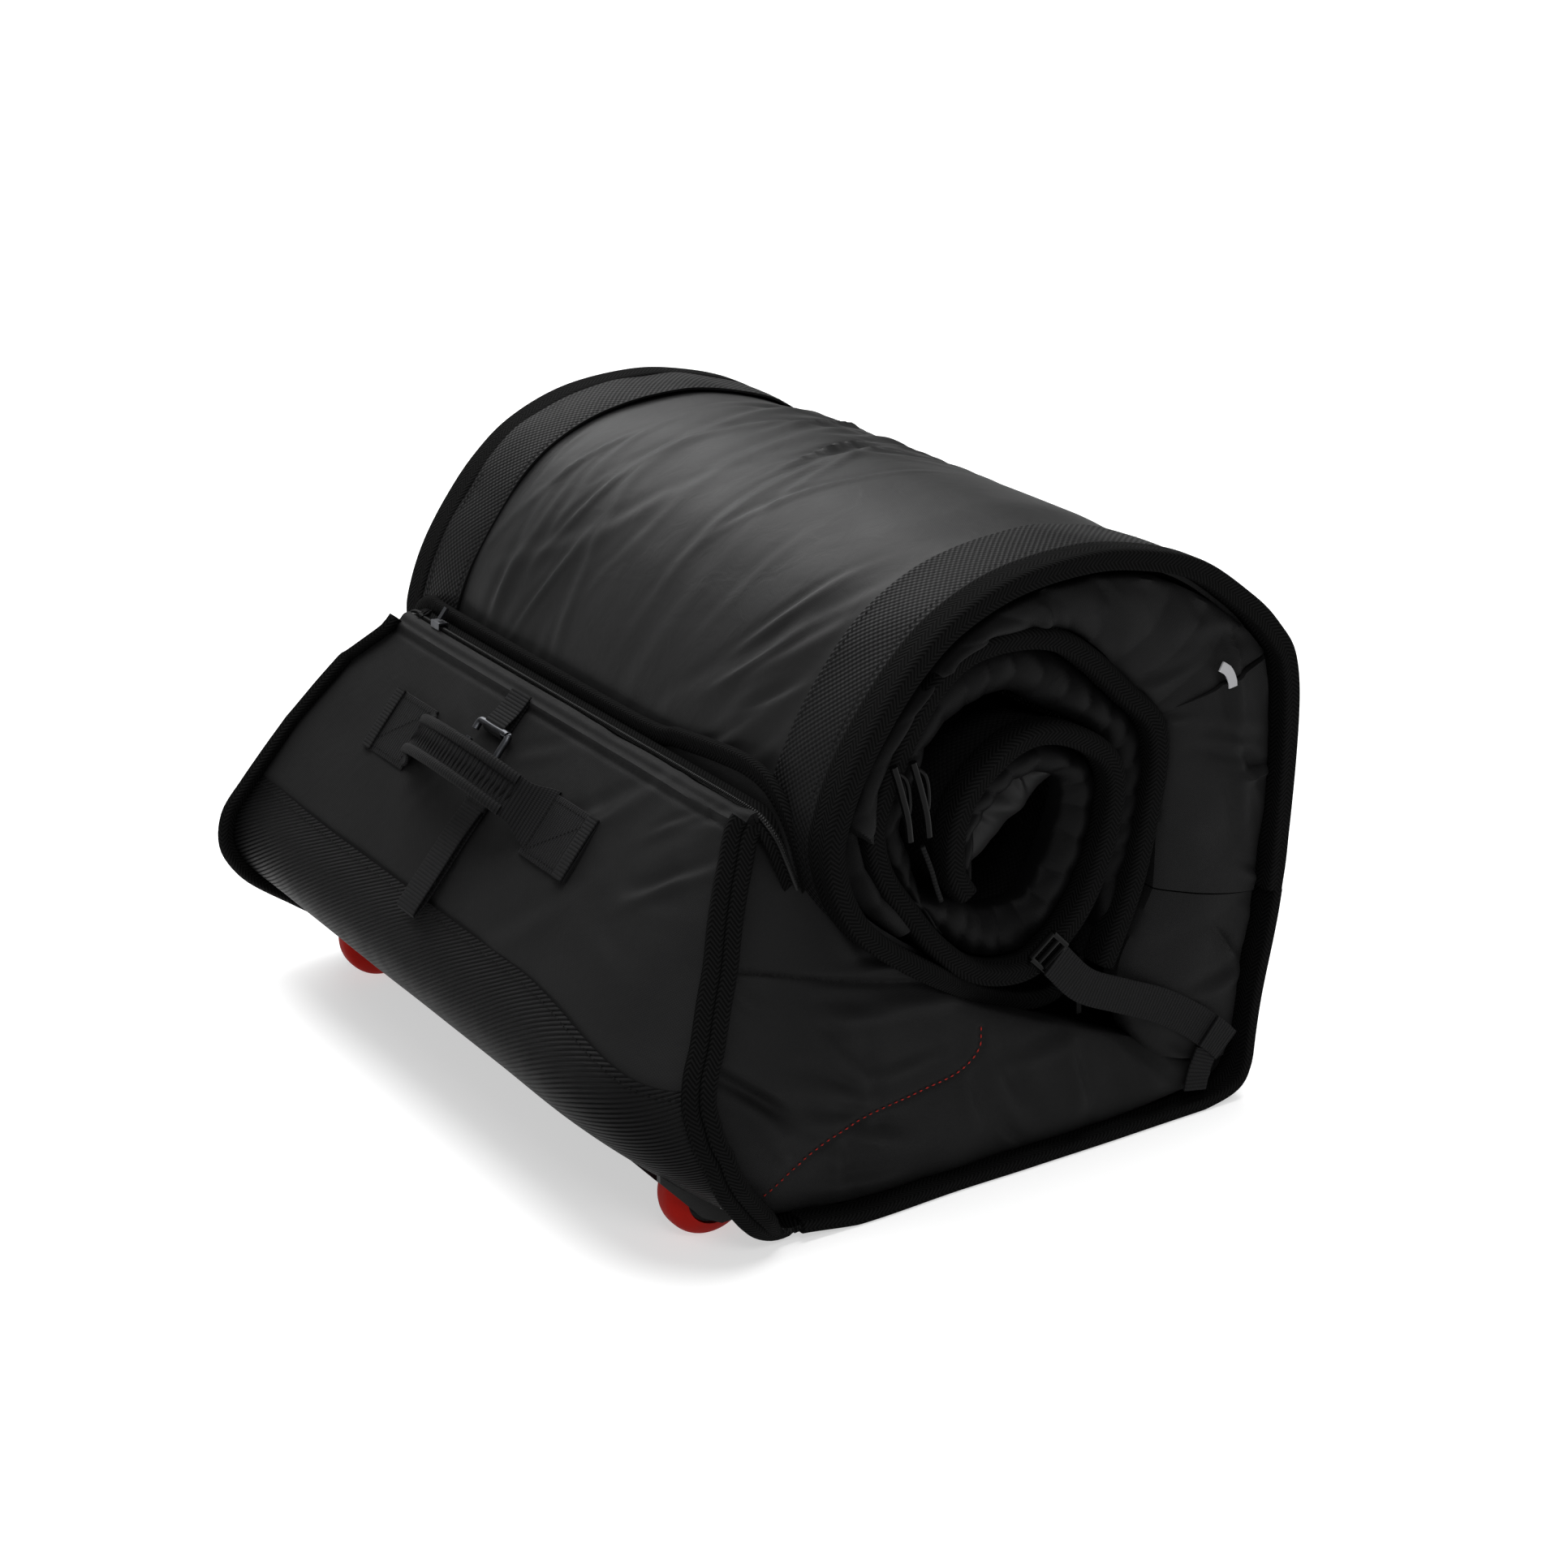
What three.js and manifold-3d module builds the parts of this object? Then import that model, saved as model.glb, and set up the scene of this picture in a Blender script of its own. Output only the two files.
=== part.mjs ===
// A padded sports travel bag with two wheels, emptied and rolled up for storage.
// The wheel end stands on the floor as an open wedge, the long body folds up behind it and rolls
// forward over the top. Millimetres, +Z up, Y across the bag, the wheel end towards -X.
import * as THREE from 'three';
import { mergeVertices } from 'three/addons/utils/BufferGeometryUtils.js';
import Module from 'manifold-3d';

const wasm = await Module();
wasm.setup();

// Driving dimensions. Profiles are drawn with x = 0 at the bottom corner of the wheel end.
const CENTRE_X = 153;            // middle of the bag's length in profile coordinates
const HALF_WIDTH = 280;          // the panels reach this far each side of the middle
const GUSSET_FACE = 275.5;       // outer face of the side walls
const GUSSET_DEPTH = 14;
const PANEL_THICK = 15;
const FRONT_THICK = 13;
const LID_THICK = 6;
const GAP = 0.6;                 // between pieces that are sewn or laid together
const LEAN = 46;                 // how far the side walls lean in at the top of the wheel end
const NEAR_LEAN_POWER = 1.3;     // the near wall leans from the floor up
const FAR_LEAN_POWER = 3;        // the far wall stands up and leans late

const WHEEL_X = -19;
const WHEEL_R = 32;
const WHEEL_Y = 228;
const TYRE_HALF = 14;
const HUB_R = 21;
const BEARING_R = 11;
const AXLE_R = 4;
const CHEEK_IN = 17;
const CHEEK_OUT = 21;
const BORE_GAP = 0.4;            // round parts turn or slide with this much room
const CORE_HALF = 11;
const WINDOW_COUNT = 6;
const WINDOW_R = 3.3;
const WINDOW_CIRCLE = 16.2;
const BEARING_HALF = 3.5;
const BEARING_PLACE = 8;
const SPACER_HALF = 4;
const HEAD_R = 6.5;
const HEAD_HEIGHT = 3.4;
const BOLT_LENGTH = 2 * CHEEK_OUT + 8;
const NUT_R = 6.8;
const NUT_HEIGHT = 3.2;

// Half widths of the sheets across the bag.
const SCUFF_HALF = 260;
const TAIL_LID_HALF = 257;
const BACK_LID_HALF = 250;
const ROLL_LID_HALF = 258;
const TURN_HALF = 268;
const CORE_LOOP_HALF = 262;
const CORE_PAD_HALF = 255;
const FLAP_HALF = 205;
const TRAY_HALF = 236;

const SCUFF_THICK = 5;
const BACK_GUSSET_DEPTH = 20;
const CORE_THICK = 12;
const STRAP_THICK = 5;
const STRAP_HALF = 15;
const CORD_R = 1.6;

const SEAM = [-84, 150];         // foot of the end panel's slope
const SLOPE = THREE.MathUtils.degToRad(50.6);
const PANEL_LENGTH = 153;
const PANEL_TOP_HALF = 214;
const PANEL_FOOT_NEAR = 240;
const PANEL_FOOT_FAR = 252;
const HANDLE_B = 87;             // the handle's hinge line, up the slope from the seam

// Profiles, as (x, z) points.
const FLOOR_TOP = [[368, 21], [345, 19.5], [300, 15.5], [110, 15.5], [60, 20], [24, 25]];
const FLOOR_BOTTOM = [[22, 9], [60, 4], [110, 0], [300, 0], [345, 3.5], [379, 10]];
const WEDGE_TOP = [[13, 262], [46, 220], [75, 189], [117, 152], [158, 119], [208, 96], [304, 53],
  [355, 29]];
const WEDGE_END = [[4, 14], [-33, 42], [-56, 88], [-62, 139], [-38, 203], [6, 256]];
const BAND = [[20, 8], [0, 10], [-32, 31], [-66, 56], [-92, 80], [-104, 104], [-100, 128], [-85, 149]];
const BACK = [[382, 15], [386, 44], [396, 102], [407, 182], [410, 262], [402, 316], [388, 336]];
const TOP = [[383.5, 347], [363, 362], [317, 393], [264, 408], [220, 412], [171, 405], [129, 388]];
const FRONT = [[122, 383], [100, 365], [77, 338], [58, 309], [46, 281], [41, 256], [48, 233], [66, 210],
  [86, 196]];
const BACK_INNER = [[298, 302], [302, 268], [296, 220], [285, 177], [264, 131], [262, 84]];
const ROLL_INNER = [[298, 311], [270, 332], [242, 350], [197, 369], [152, 370], [120, 352], [97, 325],
  [82, 296], [77, 262], [80, 236], [89, 220]];
const TURN_OUTER = [[86, 262], [97, 226], [112, 190], [138, 155], [172, 127], [212, 113], [244, 128],
  [260, 160], [275, 195], [288, 240], [291, 272], [279, 301], [254, 325], [221, 345], [190, 357],
  [155, 359], [127, 343], [106, 317], [92, 292]];
const TURN_INNER = [[98, 262], [108, 236], [126, 197], [149, 162], [176, 146], [206, 150], [232, 177],
  [250, 220], [257, 262], [250, 294], [226, 320], [192, 338], [158, 340], [133, 326], [112, 300]];
const CORE_LOOP = [[128, 214], [128, 262], [147, 297], [187, 313], [225, 308], [243, 288]];
const CORE_PAD = [[150, 200], [149, 236], [168, 266], [204, 288], [228, 284], [232, 262], [216, 226],
  [196, 196], [170, 186]];

const bag = new THREE.Group();
bag.name = 'rolled_bag';
bag.position.x = -CENTRE_X;

const endPanel = new THREE.Group();
placeOnSlope(endPanel);
bag.add(endPanel);

const LOOKS = {
  nylon: { color: 0x1b1b1c, roughness: 0.55 },
  twill: { color: 0x0c0c0c, roughness: 0.85 },
  webbing: { color: 0x111111, roughness: 0.8 },
  band: { color: 0x18181a, roughness: 0.6 },
  lining: { color: 0x141415, roughness: 0.7 },
  plastic: { color: 0x101010, roughness: 0.4 },
  gloss: { color: 0x060606, roughness: 0.15 },
  urethane: { color: 0x9c1710, roughness: 0.45 },
  steel: { color: 0xb9bcc0, roughness: 0.3, metalness: 1 },
  gunmetal: { color: 0x3b3d40, roughness: 0.35, metalness: 1 },
};

function material(look) {
  return new THREE.MeshStandardMaterial(LOOKS[look]);
}

function add(name, geometry, look, parent = bag) {
  const mesh = new THREE.Mesh(geometry, material(look));
  mesh.name = name;
  parent.add(mesh);
  return mesh;
}

// The end panel's own axes: x towards the near side, y up the slope, z out of the panel.
function placeOnSlope(group) {
  const across = new THREE.Vector3(0, -1, 0);
  const up = new THREE.Vector3(Math.cos(SLOPE), 0, Math.sin(SLOPE));
  const out = new THREE.Vector3().crossVectors(across, up);
  const basis = new THREE.Matrix4().makeBasis(across, up, out);
  group.quaternion.setFromRotationMatrix(basis);
  group.position.set(SEAM[0], 0, SEAM[1]);
}

function shapeOf(points) {
  return new THREE.Shape(points.map(([x, z]) => new THREE.Vector2(x, z)));
}

// A profile in x and z, extruded across the bag from y = from to y = to.
function prism(points, from, to) {
  const geometry = new THREE.ExtrudeGeometry(shapeOf(points), { depth: to - from, bevelEnabled: false });
  geometry.rotateX(Math.PI / 2);
  geometry.translate(0, to, 0);
  return geometry;
}

// The same line moved to its left by a distance, for a layer of even thickness.
function offset(line, distance) {
  return line.map((point, i) => {
    const before = line[Math.max(i - 1, 0)];
    const after = line[Math.min(i + 1, line.length - 1)];
    const along = new THREE.Vector2(after[0] - before[0], after[1] - before[1]).normalize();
    return [point[0] - along.y * distance, point[1] + along.x * distance];
  });
}

function layer(line, thickness) {
  return [...line, ...offset(line, thickness).reverse()];
}

// How far a side wall leans in at a point. The lean fades away from the wheel end.
function lean(x, y, z) {
  const height = THREE.MathUtils.clamp((z - 10) / 258, 0, 1);
  const fade = 1 - THREE.MathUtils.smoothstep(x, 0, 110);
  const power = y < 0 ? NEAR_LEAN_POWER : FAR_LEAN_POWER;
  return LEAN * Math.pow(height, power) * fade;
}

function moveY(geometry, rule) {
  const position = geometry.attributes.position;
  for (let i = 0; i < position.count; i += 1) {
    position.setY(i, rule(position.getX(i), position.getY(i), position.getZ(i)));
  }
  return geometry;
}

// Widths follow the leaning side walls.
function betweenWalls(geometry) {
  const full = GUSSET_FACE - GUSSET_DEPTH - GAP;
  return moveY(geometry, (x, y, z) => y * (full - lean(x, y, z)) / full);
}

function wall(points, side, depth = GUSSET_DEPTH) {
  const inside = GUSSET_FACE - depth;
  return side < 0 ? prism(points, -GUSSET_FACE, -inside) : prism(points, inside, GUSSET_FACE);
}

function leaningWall(points, side) {
  return moveY(wall(points, side), (x, y, z) => y - Math.sign(y) * lean(x, y, z));
}

function toSolid(geometry) {
  const bare = new THREE.BufferGeometry();
  bare.setAttribute('position', geometry.attributes.position.clone());
  if (geometry.index) bare.setIndex(geometry.index.clone());
  const merged = mergeVertices(bare, 1e-4);
  return new wasm.Manifold(new wasm.Mesh({
    numProp: 3,
    vertProperties: new Float32Array(merged.attributes.position.array),
    triVerts: new Uint32Array(merged.index.array),
  }));
}

function fromSolid(solid) {
  const mesh = solid.getMesh();
  const geometry = new THREE.BufferGeometry();
  geometry.setAttribute('position', new THREE.BufferAttribute(new Float32Array(mesh.vertProperties), 3));
  geometry.setIndex(new THREE.BufferAttribute(new Uint32Array(mesh.triVerts), 1));
  geometry.computeVertexNormals();
  return geometry;
}

function cut(geometry, ...tools) {
  return fromSolid(tools.reduce((solid, tool) => solid.subtract(toSolid(tool)), toSolid(geometry)));
}

function block(low, high) {
  const size = high.map((value, i) => value - low[i]);
  const geometry = new THREE.BoxGeometry(...size);
  geometry.translate(...high.map((value, i) => (value + low[i]) / 2));
  return geometry;
}

function rod(radius, from, to, x, z, segments = 24) {
  const geometry = new THREE.CylinderGeometry(radius, radius, to - from, segments);
  geometry.translate(x, (from + to) / 2, z);
  return geometry;
}

// A ring about the wheel axle: a closed profile of (radius, y) turned about Y.
function turned(profile, segments, y) {
  const closed = [...profile, profile[0]].map(([r, h]) => new THREE.Vector2(r, h));
  const geometry = new THREE.LatheGeometry(closed, segments);
  geometry.translate(WHEEL_X, y, WHEEL_R);
  return geometry;
}

function ring(inner, outer, from, to, segments, y) {
  return turned([[inner, from], [outer, from], [outer, to], [inner, to]], segments, y);
}

// A round cord along a route.
function tube(route, radius, sides, steps) {
  const curve = new THREE.CatmullRomCurve3(route.map((p) => new THREE.Vector3(...p)));
  const section = new THREE.Shape();
  section.absarc(0, 0, radius, 0, Math.PI * 2);
  return new THREE.ExtrudeGeometry(section, {
    steps, extrudePath: curve, bevelEnabled: false, curveSegments: sides,
  });
}

// Wheel end: padded floor, side walls, sloping end panel, ribbed scuff band and lid.
function wheelEnd() {
  add('floor_panel', prism([...FLOOR_BOTTOM, ...FLOOR_TOP], -HALF_WIDTH, HALF_WIDTH), 'nylon');
  const raised = FLOOR_TOP.slice(1).map(([x, z]) => [x, z + GAP]);
  const outline = [...raised, ...WEDGE_END, ...WEDGE_TOP];
  add('tail_gusset_near', leaningWall(outline, -1), 'nylon');
  add('tail_gusset_far', leaningWall(outline, 1), 'nylon');
  const lidLine = WEDGE_TOP.slice(1, -1);
  const lid = prism(layer(lidLine, -LID_THICK), -TAIL_LID_HALF, TAIL_LID_HALF);
  add('tail_lid', betweenWalls(lid), 'lining');
  const flap = prism([[31, 250], [34.5, 250], [36.5, 281], [33, 281]], -FLAP_HALF, FLAP_HALF);
  add('lid_edge_flap', flap, 'twill');
}

function scuffBand() {
  const whole = prism(layer(BAND, -SCUFF_THICK), -SCUFF_HALF, SCUFF_HALF);
  const room = CHEEK_OUT + 5;
  const holes = [-WHEEL_Y, WHEEL_Y].map((y) => block([-70, y - room, -10], [18.5, y + room, 66]));
  const opened = cut(whole, ...holes);
  const atEnd = (y) => Math.abs(y) > SCUFF_HALF - 5;
  const fitted = moveY(opened, (x, y, z) => (atEnd(y) ? y - Math.sign(y) * lean(x, y, z) : y));
  add('scuff_band', fitted, 'band');
}

// The end panel narrows from its foot to its top.
function narrowed(geometry) {
  const position = geometry.attributes.position;
  for (let i = 0; i < position.count; i += 1) {
    const foot = position.getX(i) < 0 ? PANEL_FOOT_FAR : PANEL_FOOT_NEAR;
    const share = position.getY(i) / PANEL_LENGTH;
    const half = foot + (PANEL_TOP_HALF - foot) * share;
    position.setX(i, position.getX(i) * half / foot);
  }
  return geometry;
}

function slopePanel() {
  const board = block([-PANEL_FOOT_FAR, 1, -9], [PANEL_FOOT_NEAR, PANEL_LENGTH, 0]);
  const inset = 12;
  const low = [-PANEL_FOOT_FAR + inset, 8, -13.5];
  const stiff = block(low, [PANEL_FOOT_NEAR - inset, PANEL_LENGTH - 16, -10.5]);
  add('end_panel', narrowed(board), 'nylon', endPanel);
  add('end_stiffener', narrowed(stiff), 'plastic', endPanel);
}

function wheelBase() {
  const outline = [[-70, 79], [96, 79], [96, 30], [99, 30], [99, 82], [-70, 82]];
  add('wheel_base_tray', prism(outline, -TRAY_HALF, TRAY_HALF), 'plastic');
}

function housing(side, y) {
  const cheeks = [[14, 14], [17, 30], [17, 77], [-64, 77], [-64, 55], [-34, 22], [-20, 14]];
  const slot = block([-90, y - CHEEK_IN, -10], [40, y + CHEEK_IN, 70]);
  const bore = rod(AXLE_R + BORE_GAP, y - 40, y + 40, WHEEL_X, WHEEL_R);
  const body = cut(prism(cheeks, y - CHEEK_OUT, y + CHEEK_OUT), slot, bore);
  add(`wheel_housing_${side}`, body, 'plastic');
}

// The tyre's section as (radius, y), from its bore out over the tread.
function tyreSection() {
  const bore = HUB_R + BORE_GAP;
  const shoulder = [26, TYRE_HALF];
  const crown = [30, 11];
  const tread = [WHEEL_R, 5];
  const half = [[bore, 12], shoulder, crown, tread];
  const mirrored = half.map(([r, h]) => [r, -h]);
  return [...mirrored, ...half.reverse()];
}

function hubCore(y) {
  const windows = [];
  for (let i = 0; i < WINDOW_COUNT; i += 1) {
    const angle = (i + 0.5) * 2 * Math.PI / WINDOW_COUNT;
    const x = WHEEL_X + WINDOW_CIRCLE * Math.cos(angle);
    const z = WHEEL_R + WINDOW_CIRCLE * Math.sin(angle);
    windows.push(rod(WINDOW_R, y - 20, y + 20, x, z, 12));
  }
  return cut(ring(BEARING_R + BORE_GAP, HUB_R, -CORE_HALF, CORE_HALF, 36, y), ...windows);
}

function bearing(y) {
  return ring(AXLE_R + BORE_GAP, BEARING_R, -BEARING_HALF, BEARING_HALF, 24, y);
}

// The bolt goes in from the outside of the bag and the nut sits on the inner cheek.
function axleBolt(out, y) {
  const section = [[0, 0], [HEAD_R, 0], [HEAD_R, HEAD_HEIGHT], [AXLE_R, HEAD_HEIGHT],
    [AXLE_R, BOLT_LENGTH], [0, BOLT_LENGTH]];
  const bolt = new THREE.LatheGeometry(section.map(([r, h]) => new THREE.Vector2(r, h)), 24);
  if (out > 0) bolt.rotateX(Math.PI);
  bolt.translate(WHEEL_X, y + out * (CHEEK_OUT + HEAD_HEIGHT + GAP), WHEEL_R);
  return bolt;
}

function axleNut(out, y) {
  const face = CHEEK_OUT + GAP;
  const low = out < 0 ? y + face : y - face - NUT_HEIGHT;
  const nut = rod(NUT_R, low, low + NUT_HEIGHT, WHEEL_X, WHEEL_R, 6);
  return cut(nut, rod(AXLE_R + BORE_GAP, low - 5, low + 9, WHEEL_X, WHEEL_R));
}

function wheel(side, y) {
  const out = Math.sign(y);
  add(`wheel_tyre_${side}`, turned(tyreSection(), 40, y), 'urethane');
  add(`wheel_hub_${side}`, hubCore(y), 'plastic');
  add(`bearing_${side}_outer`, bearing(y + out * BEARING_PLACE), 'steel');
  add(`bearing_${side}_inner`, bearing(y - out * BEARING_PLACE), 'steel');
  const bore = AXLE_R + BORE_GAP;
  add(`bearing_spacer_${side}`, ring(bore, bore + 1.2, -SPACER_HALF, SPACER_HALF, 20, y), 'steel');
  add(`axle_bolt_${side}`, axleBolt(out, y), 'steel');
  add(`axle_nut_${side}`, axleNut(out, y), 'steel');
}

// Handle, hook strap, hook and pull tab lie on the end panel, in its own axes.
function handle() {
  add('handle_patch_far', block([-179, 62, GAP], [-124, 112, 3]), 'webbing', endPanel);
  add('handle_patch_near', block([50, 60, GAP], [107, 108, 3]), 'webbing', endPanel);
  const arch = [[-119, 4], [-111, 12], [-98, 24], [-74, 34], [-37, 38], [0, 34], [24, 24], [37, 12],
    [45, 4]];
  const band = prism(layer(arch, STRAP_THICK), -STRAP_HALF, STRAP_HALF);
  const gather = (z) => 0.22 + 0.78 * THREE.MathUtils.smoothstep(z, 4, 24);
  moveY(band, (x, y, z) => HANDLE_B + y * gather(z) + 0.12 * z);
  add('handle_strap', band, 'webbing', endPanel);
}

function hookAndTab() {
  add('hook_strap', block([-60, 125, GAP], [-34, 151, 3.4]), 'webbing', endPanel);
  const frame = block([-69, 98, 4.6], [-25, 124, 8.6]);
  const inside = block([-64, 102.5, 0], [-30, 119.5, 20]);
  const gate = block([-72, 108, 0], [-60, 114, 20]);
  add('g_hook', cut(frame, inside, gate), 'gunmetal', endPanel);
  const tab = block([-32, -14, 4], [-8, 71, 6.6]);
  add('tab_loop', tab, 'webbing', endPanel);
  add('tab_loop_anchor', block([-34, 72, GAP], [-6, 84, 6.6]), 'webbing', endPanel);
}

function zip() {
  const tape = prism([[15, 269.5], [28, 264.5], [29, 267], [16, 272]], -FLAP_HALF, FLAP_HALF);
  add('zip_tape', tape, 'twill');
  add('zip_coil', rod(2.2, -FLAP_HALF + 1, FLAP_HALF - 1, 22.5, 272.4, 8), 'plastic');
  const slider = prism([[18.6, 272], [19, 277], [26.4, 276.4], [26.2, 270.5], [25.3, 270.8],
    [25.3, 275.3], [19.9, 275.6], [19.6, 272]], 186, 198);
  add('zip_slider', slider, 'gunmetal');
  add('zip_pull', prism([[22, 278.4], [26, 278.4], [30, 284.4], [28, 286]], 190, 194), 'gunmetal');
}

// Back wall of the roll, between the two folds.
function backWall() {
  const inside = offset(BACK, PANEL_THICK).slice(1).reverse();
  add('back_panel', prism([...BACK, ...inside, [370, 27]], -HALF_WIDTH, HALF_WIDTH), 'nylon');
  const outer = offset(BACK, PANEL_THICK + GAP).slice(1);
  const outline = [[305, 59], [362, 34], ...outer, ...BACK_INNER];
  add('back_gusset_near', wall(outline, -1, BACK_GUSSET_DEPTH), 'nylon');
  add('back_gusset_far', wall(outline, 1, BACK_GUSSET_DEPTH), 'nylon');
  add('back_lid', prism(layer(BACK_INNER, LID_THICK), -BACK_LID_HALF, BACK_LID_HALF), 'lining');
  add('pull_tag', prism([[334, 326], [338, 328], [356, 308], [348, 301]], -279, -276), 'steel');
}

// The outer turn of the roll: top, front, its side walls and the lid under it.
function roll() {
  const under = offset(TOP, PANEL_THICK).slice(2).reverse();
  add('top_panel', prism([...TOP, ...under, [366, 341.5]], -HALF_WIDTH, HALF_WIDTH), 'nylon');
  add('front_panel', prism(layer(FRONT, FRONT_THICK), -HALF_WIDTH, HALF_WIDTH), 'nylon');
  const upper = offset(TOP, PANEL_THICK + GAP).slice(2);
  const left = offset(FRONT, FRONT_THICK + GAP).slice(1, -1);
  const outline = [[356, 338], ...upper, ...left, ...[...ROLL_INNER].reverse()];
  add('roll_gusset_near', wall(outline, -1), 'nylon');
  add('roll_gusset_far', wall(outline, 1), 'nylon');
  add('roll_lid', prism(layer(ROLL_INNER, -LID_THICK), -ROLL_LID_HALF, ROLL_LID_HALF), 'lining');
}

// The turns inside: one closed turn of the padded body, and its loose end.
function core() {
  const turn = shapeOf(TURN_OUTER);
  turn.holes.push(new THREE.Path(TURN_INNER.map(([x, z]) => new THREE.Vector2(x, z))));
  const inner = new THREE.ExtrudeGeometry(turn, { depth: 2 * TURN_HALF, bevelEnabled: false });
  inner.rotateX(Math.PI / 2);
  inner.translate(0, TURN_HALF, 0);
  add('inner_turn', inner, 'nylon');
  const loop = prism(layer(CORE_LOOP, -CORE_THICK), -CORE_LOOP_HALF, CORE_LOOP_HALF);
  add('core_loop', loop, 'nylon');
  add('core_pad', prism(CORE_PAD, -CORE_PAD_HALF, CORE_PAD_HALF), 'lining');
}

function rollFittings() {
  const strap = [[203, 158], [226, 134], [296, 99], [369, 48], [356, 36], [286, 84], [212, 122],
    [196, 147]];
  add('compression_strap', prism(strap, -278.6, -276.2), 'webbing');
  const buckle = prism([[198, 150], [212, 164], [232, 144], [218, 130]], -275.4, -269);
  add('ladder_buckle', buckle, 'gloss');
  const hook = [[89, 304], [96, 302], [106, 266], [110, 250], [104, 247], [98, 258], [101, 260],
    [104, 255], [105, 258], [99, 268]];
  [0, 14].forEach((shift, i) => {
    const outline = hook.map(([x, z]) => [x + shift, z]);
    add(`inner_hook_${i + 1}`, prism(outline, -275.2, -269.5), 'gloss');
  });
  const cordRoute = [[112, -272, 242], [118, -273, 228], [126, -273, 208]];
  add('hook_cord', tube(cordRoute, CORD_R, 8, 10), 'webbing');
}

wheelEnd();
scuffBand();
slopePanel();
wheelBase();
[['near', -WHEEL_Y], ['far', WHEEL_Y]].forEach(([side, y]) => {
  housing(side, y);
  wheel(side, y);
});
handle();
hookAndTab();
zip();
backWall();
roll();
core();
rollFittings();

export default bag;
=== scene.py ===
# The looks of a padded, wheeled travel bag that is rolled up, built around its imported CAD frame.
# Shapes are worked out in millimetres with x = 0 at the bottom corner of the wheel end, as the
# CAD profiles are, and to_row() turns them into the row frame in metres.
import math

import bmesh
import bpy
import numpy as np
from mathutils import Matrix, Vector


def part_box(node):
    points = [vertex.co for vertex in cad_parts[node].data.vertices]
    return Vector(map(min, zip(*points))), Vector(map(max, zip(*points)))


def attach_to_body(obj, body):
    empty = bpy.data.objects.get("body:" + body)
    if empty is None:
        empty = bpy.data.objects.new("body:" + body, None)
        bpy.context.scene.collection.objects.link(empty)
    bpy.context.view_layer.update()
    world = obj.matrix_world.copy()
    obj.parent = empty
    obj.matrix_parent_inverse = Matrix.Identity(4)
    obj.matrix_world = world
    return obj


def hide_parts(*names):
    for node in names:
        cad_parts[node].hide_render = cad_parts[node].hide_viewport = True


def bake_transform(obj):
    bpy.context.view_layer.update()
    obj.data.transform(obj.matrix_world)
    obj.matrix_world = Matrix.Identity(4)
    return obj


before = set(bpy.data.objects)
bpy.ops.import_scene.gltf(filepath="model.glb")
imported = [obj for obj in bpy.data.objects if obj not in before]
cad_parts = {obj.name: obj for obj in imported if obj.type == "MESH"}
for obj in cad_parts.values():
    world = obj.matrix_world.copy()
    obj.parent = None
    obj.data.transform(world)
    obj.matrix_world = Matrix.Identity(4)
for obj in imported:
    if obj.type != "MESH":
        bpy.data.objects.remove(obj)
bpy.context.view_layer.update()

SIDES = (("near", -1), ("far", 1))
CENTRE_X = 153.0          # the row frame's x = 0 in profile millimetres
ROUTE_STEP = 4.0          # distance between the points of a panel's outline
SHEET_EDGE = 279.0        # half the width of the padded bottom panel with its binding
SHEET_THICK = 14.0
BINDING_WIDTH = 24
FLOOR_GAP = 0.2           # the least height of the padded panel over the floor
BAND_FROM = 206.0         # the woven reinforcement bands lie between these distances
BAND_TO = 257.0
WALL_FACE = 273.0         # face of the side walls
SEAM_FOOT = (-84.0, 150.0)
SLOPE = math.radians(50.6)
SLOPE_LENGTH = 153.0
HANDLE_B = 87.0
RIB_PITCH = 0.0029        # ribs of the scuff band, in metres as its texture is
RIB_ANGLE = math.radians(30)
WHEEL_Y = 500 * sum(corner[1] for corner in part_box("wheel_tyre_far"))
WELL_HALF = 21            # half the width of the cut-out over each wheel

# The outer line of the bag's bottom panel, from the wheel end over both folds and into the roll.
FLOOR = [(22, 9), (60, 4), (110, 0), (200, 0), (300, 0), (345, 3.5), (374, 10)]
BACK_LOW = [(384, 24), (388, 48), (396, 102), (403, 150)]
BACK_HIGH = [(407, 182), (410, 262), (404, 312)]
TOP = [(388, 338), (363, 362), (317, 392), (264, 408), (220, 411), (171, 405), (129, 388)]
FRONT = [(100, 365), (77, 338), (58, 309), (46, 281), (41, 256), (48, 225), (66, 196)]
TUCK = [(98, 168), (136, 142), (172, 118), (212, 101), (243, 101), (262, 122)]
# The panel goes on inside the roll as a second turn, and then as the tongue of the core.
TURN_TWO = [(262, 126), (284, 176), (294, 219), (300, 262), (294, 290), (272, 312), (242, 340),
            (215, 358), (183, 365), (148, 362), (124, 347), (106, 322), (90, 292), (80, 262),
            (86, 232), (104, 203), (128, 172), (160, 147), (198, 140), (228, 156), (248, 182),
            (262, 226), (264, 258), (250, 280), (216, 297), (186, 296), (156, 276), (142, 252),
            (140, 222), (150, 203)]


# ---- lines, noise and folds

def to_row(points):
    return (np.asarray(points, float) - (CENTRE_X, 0, 0)) / 1000


def curve(points, per_span=12):
    """A smooth line through the points, with the same number of steps in each span."""
    p = np.array(points, float)
    p = np.vstack([2 * p[0] - p[1], p, 2 * p[-1] - p[-2]])
    t = np.linspace(0, 1, per_span, endpoint=False)[:, None]
    spans = []
    for a, b, c, d in zip(p, p[1:], p[2:], p[3:]):
        square = (2 * a - 5 * b + 4 * c - d) * t ** 2
        cube = (3 * b - a - 3 * c + d) * t ** 3
        spans.append(0.5 * (2 * b + (c - a) * t + square + cube))
    return np.vstack(spans + [p[-2:-1]])


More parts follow.
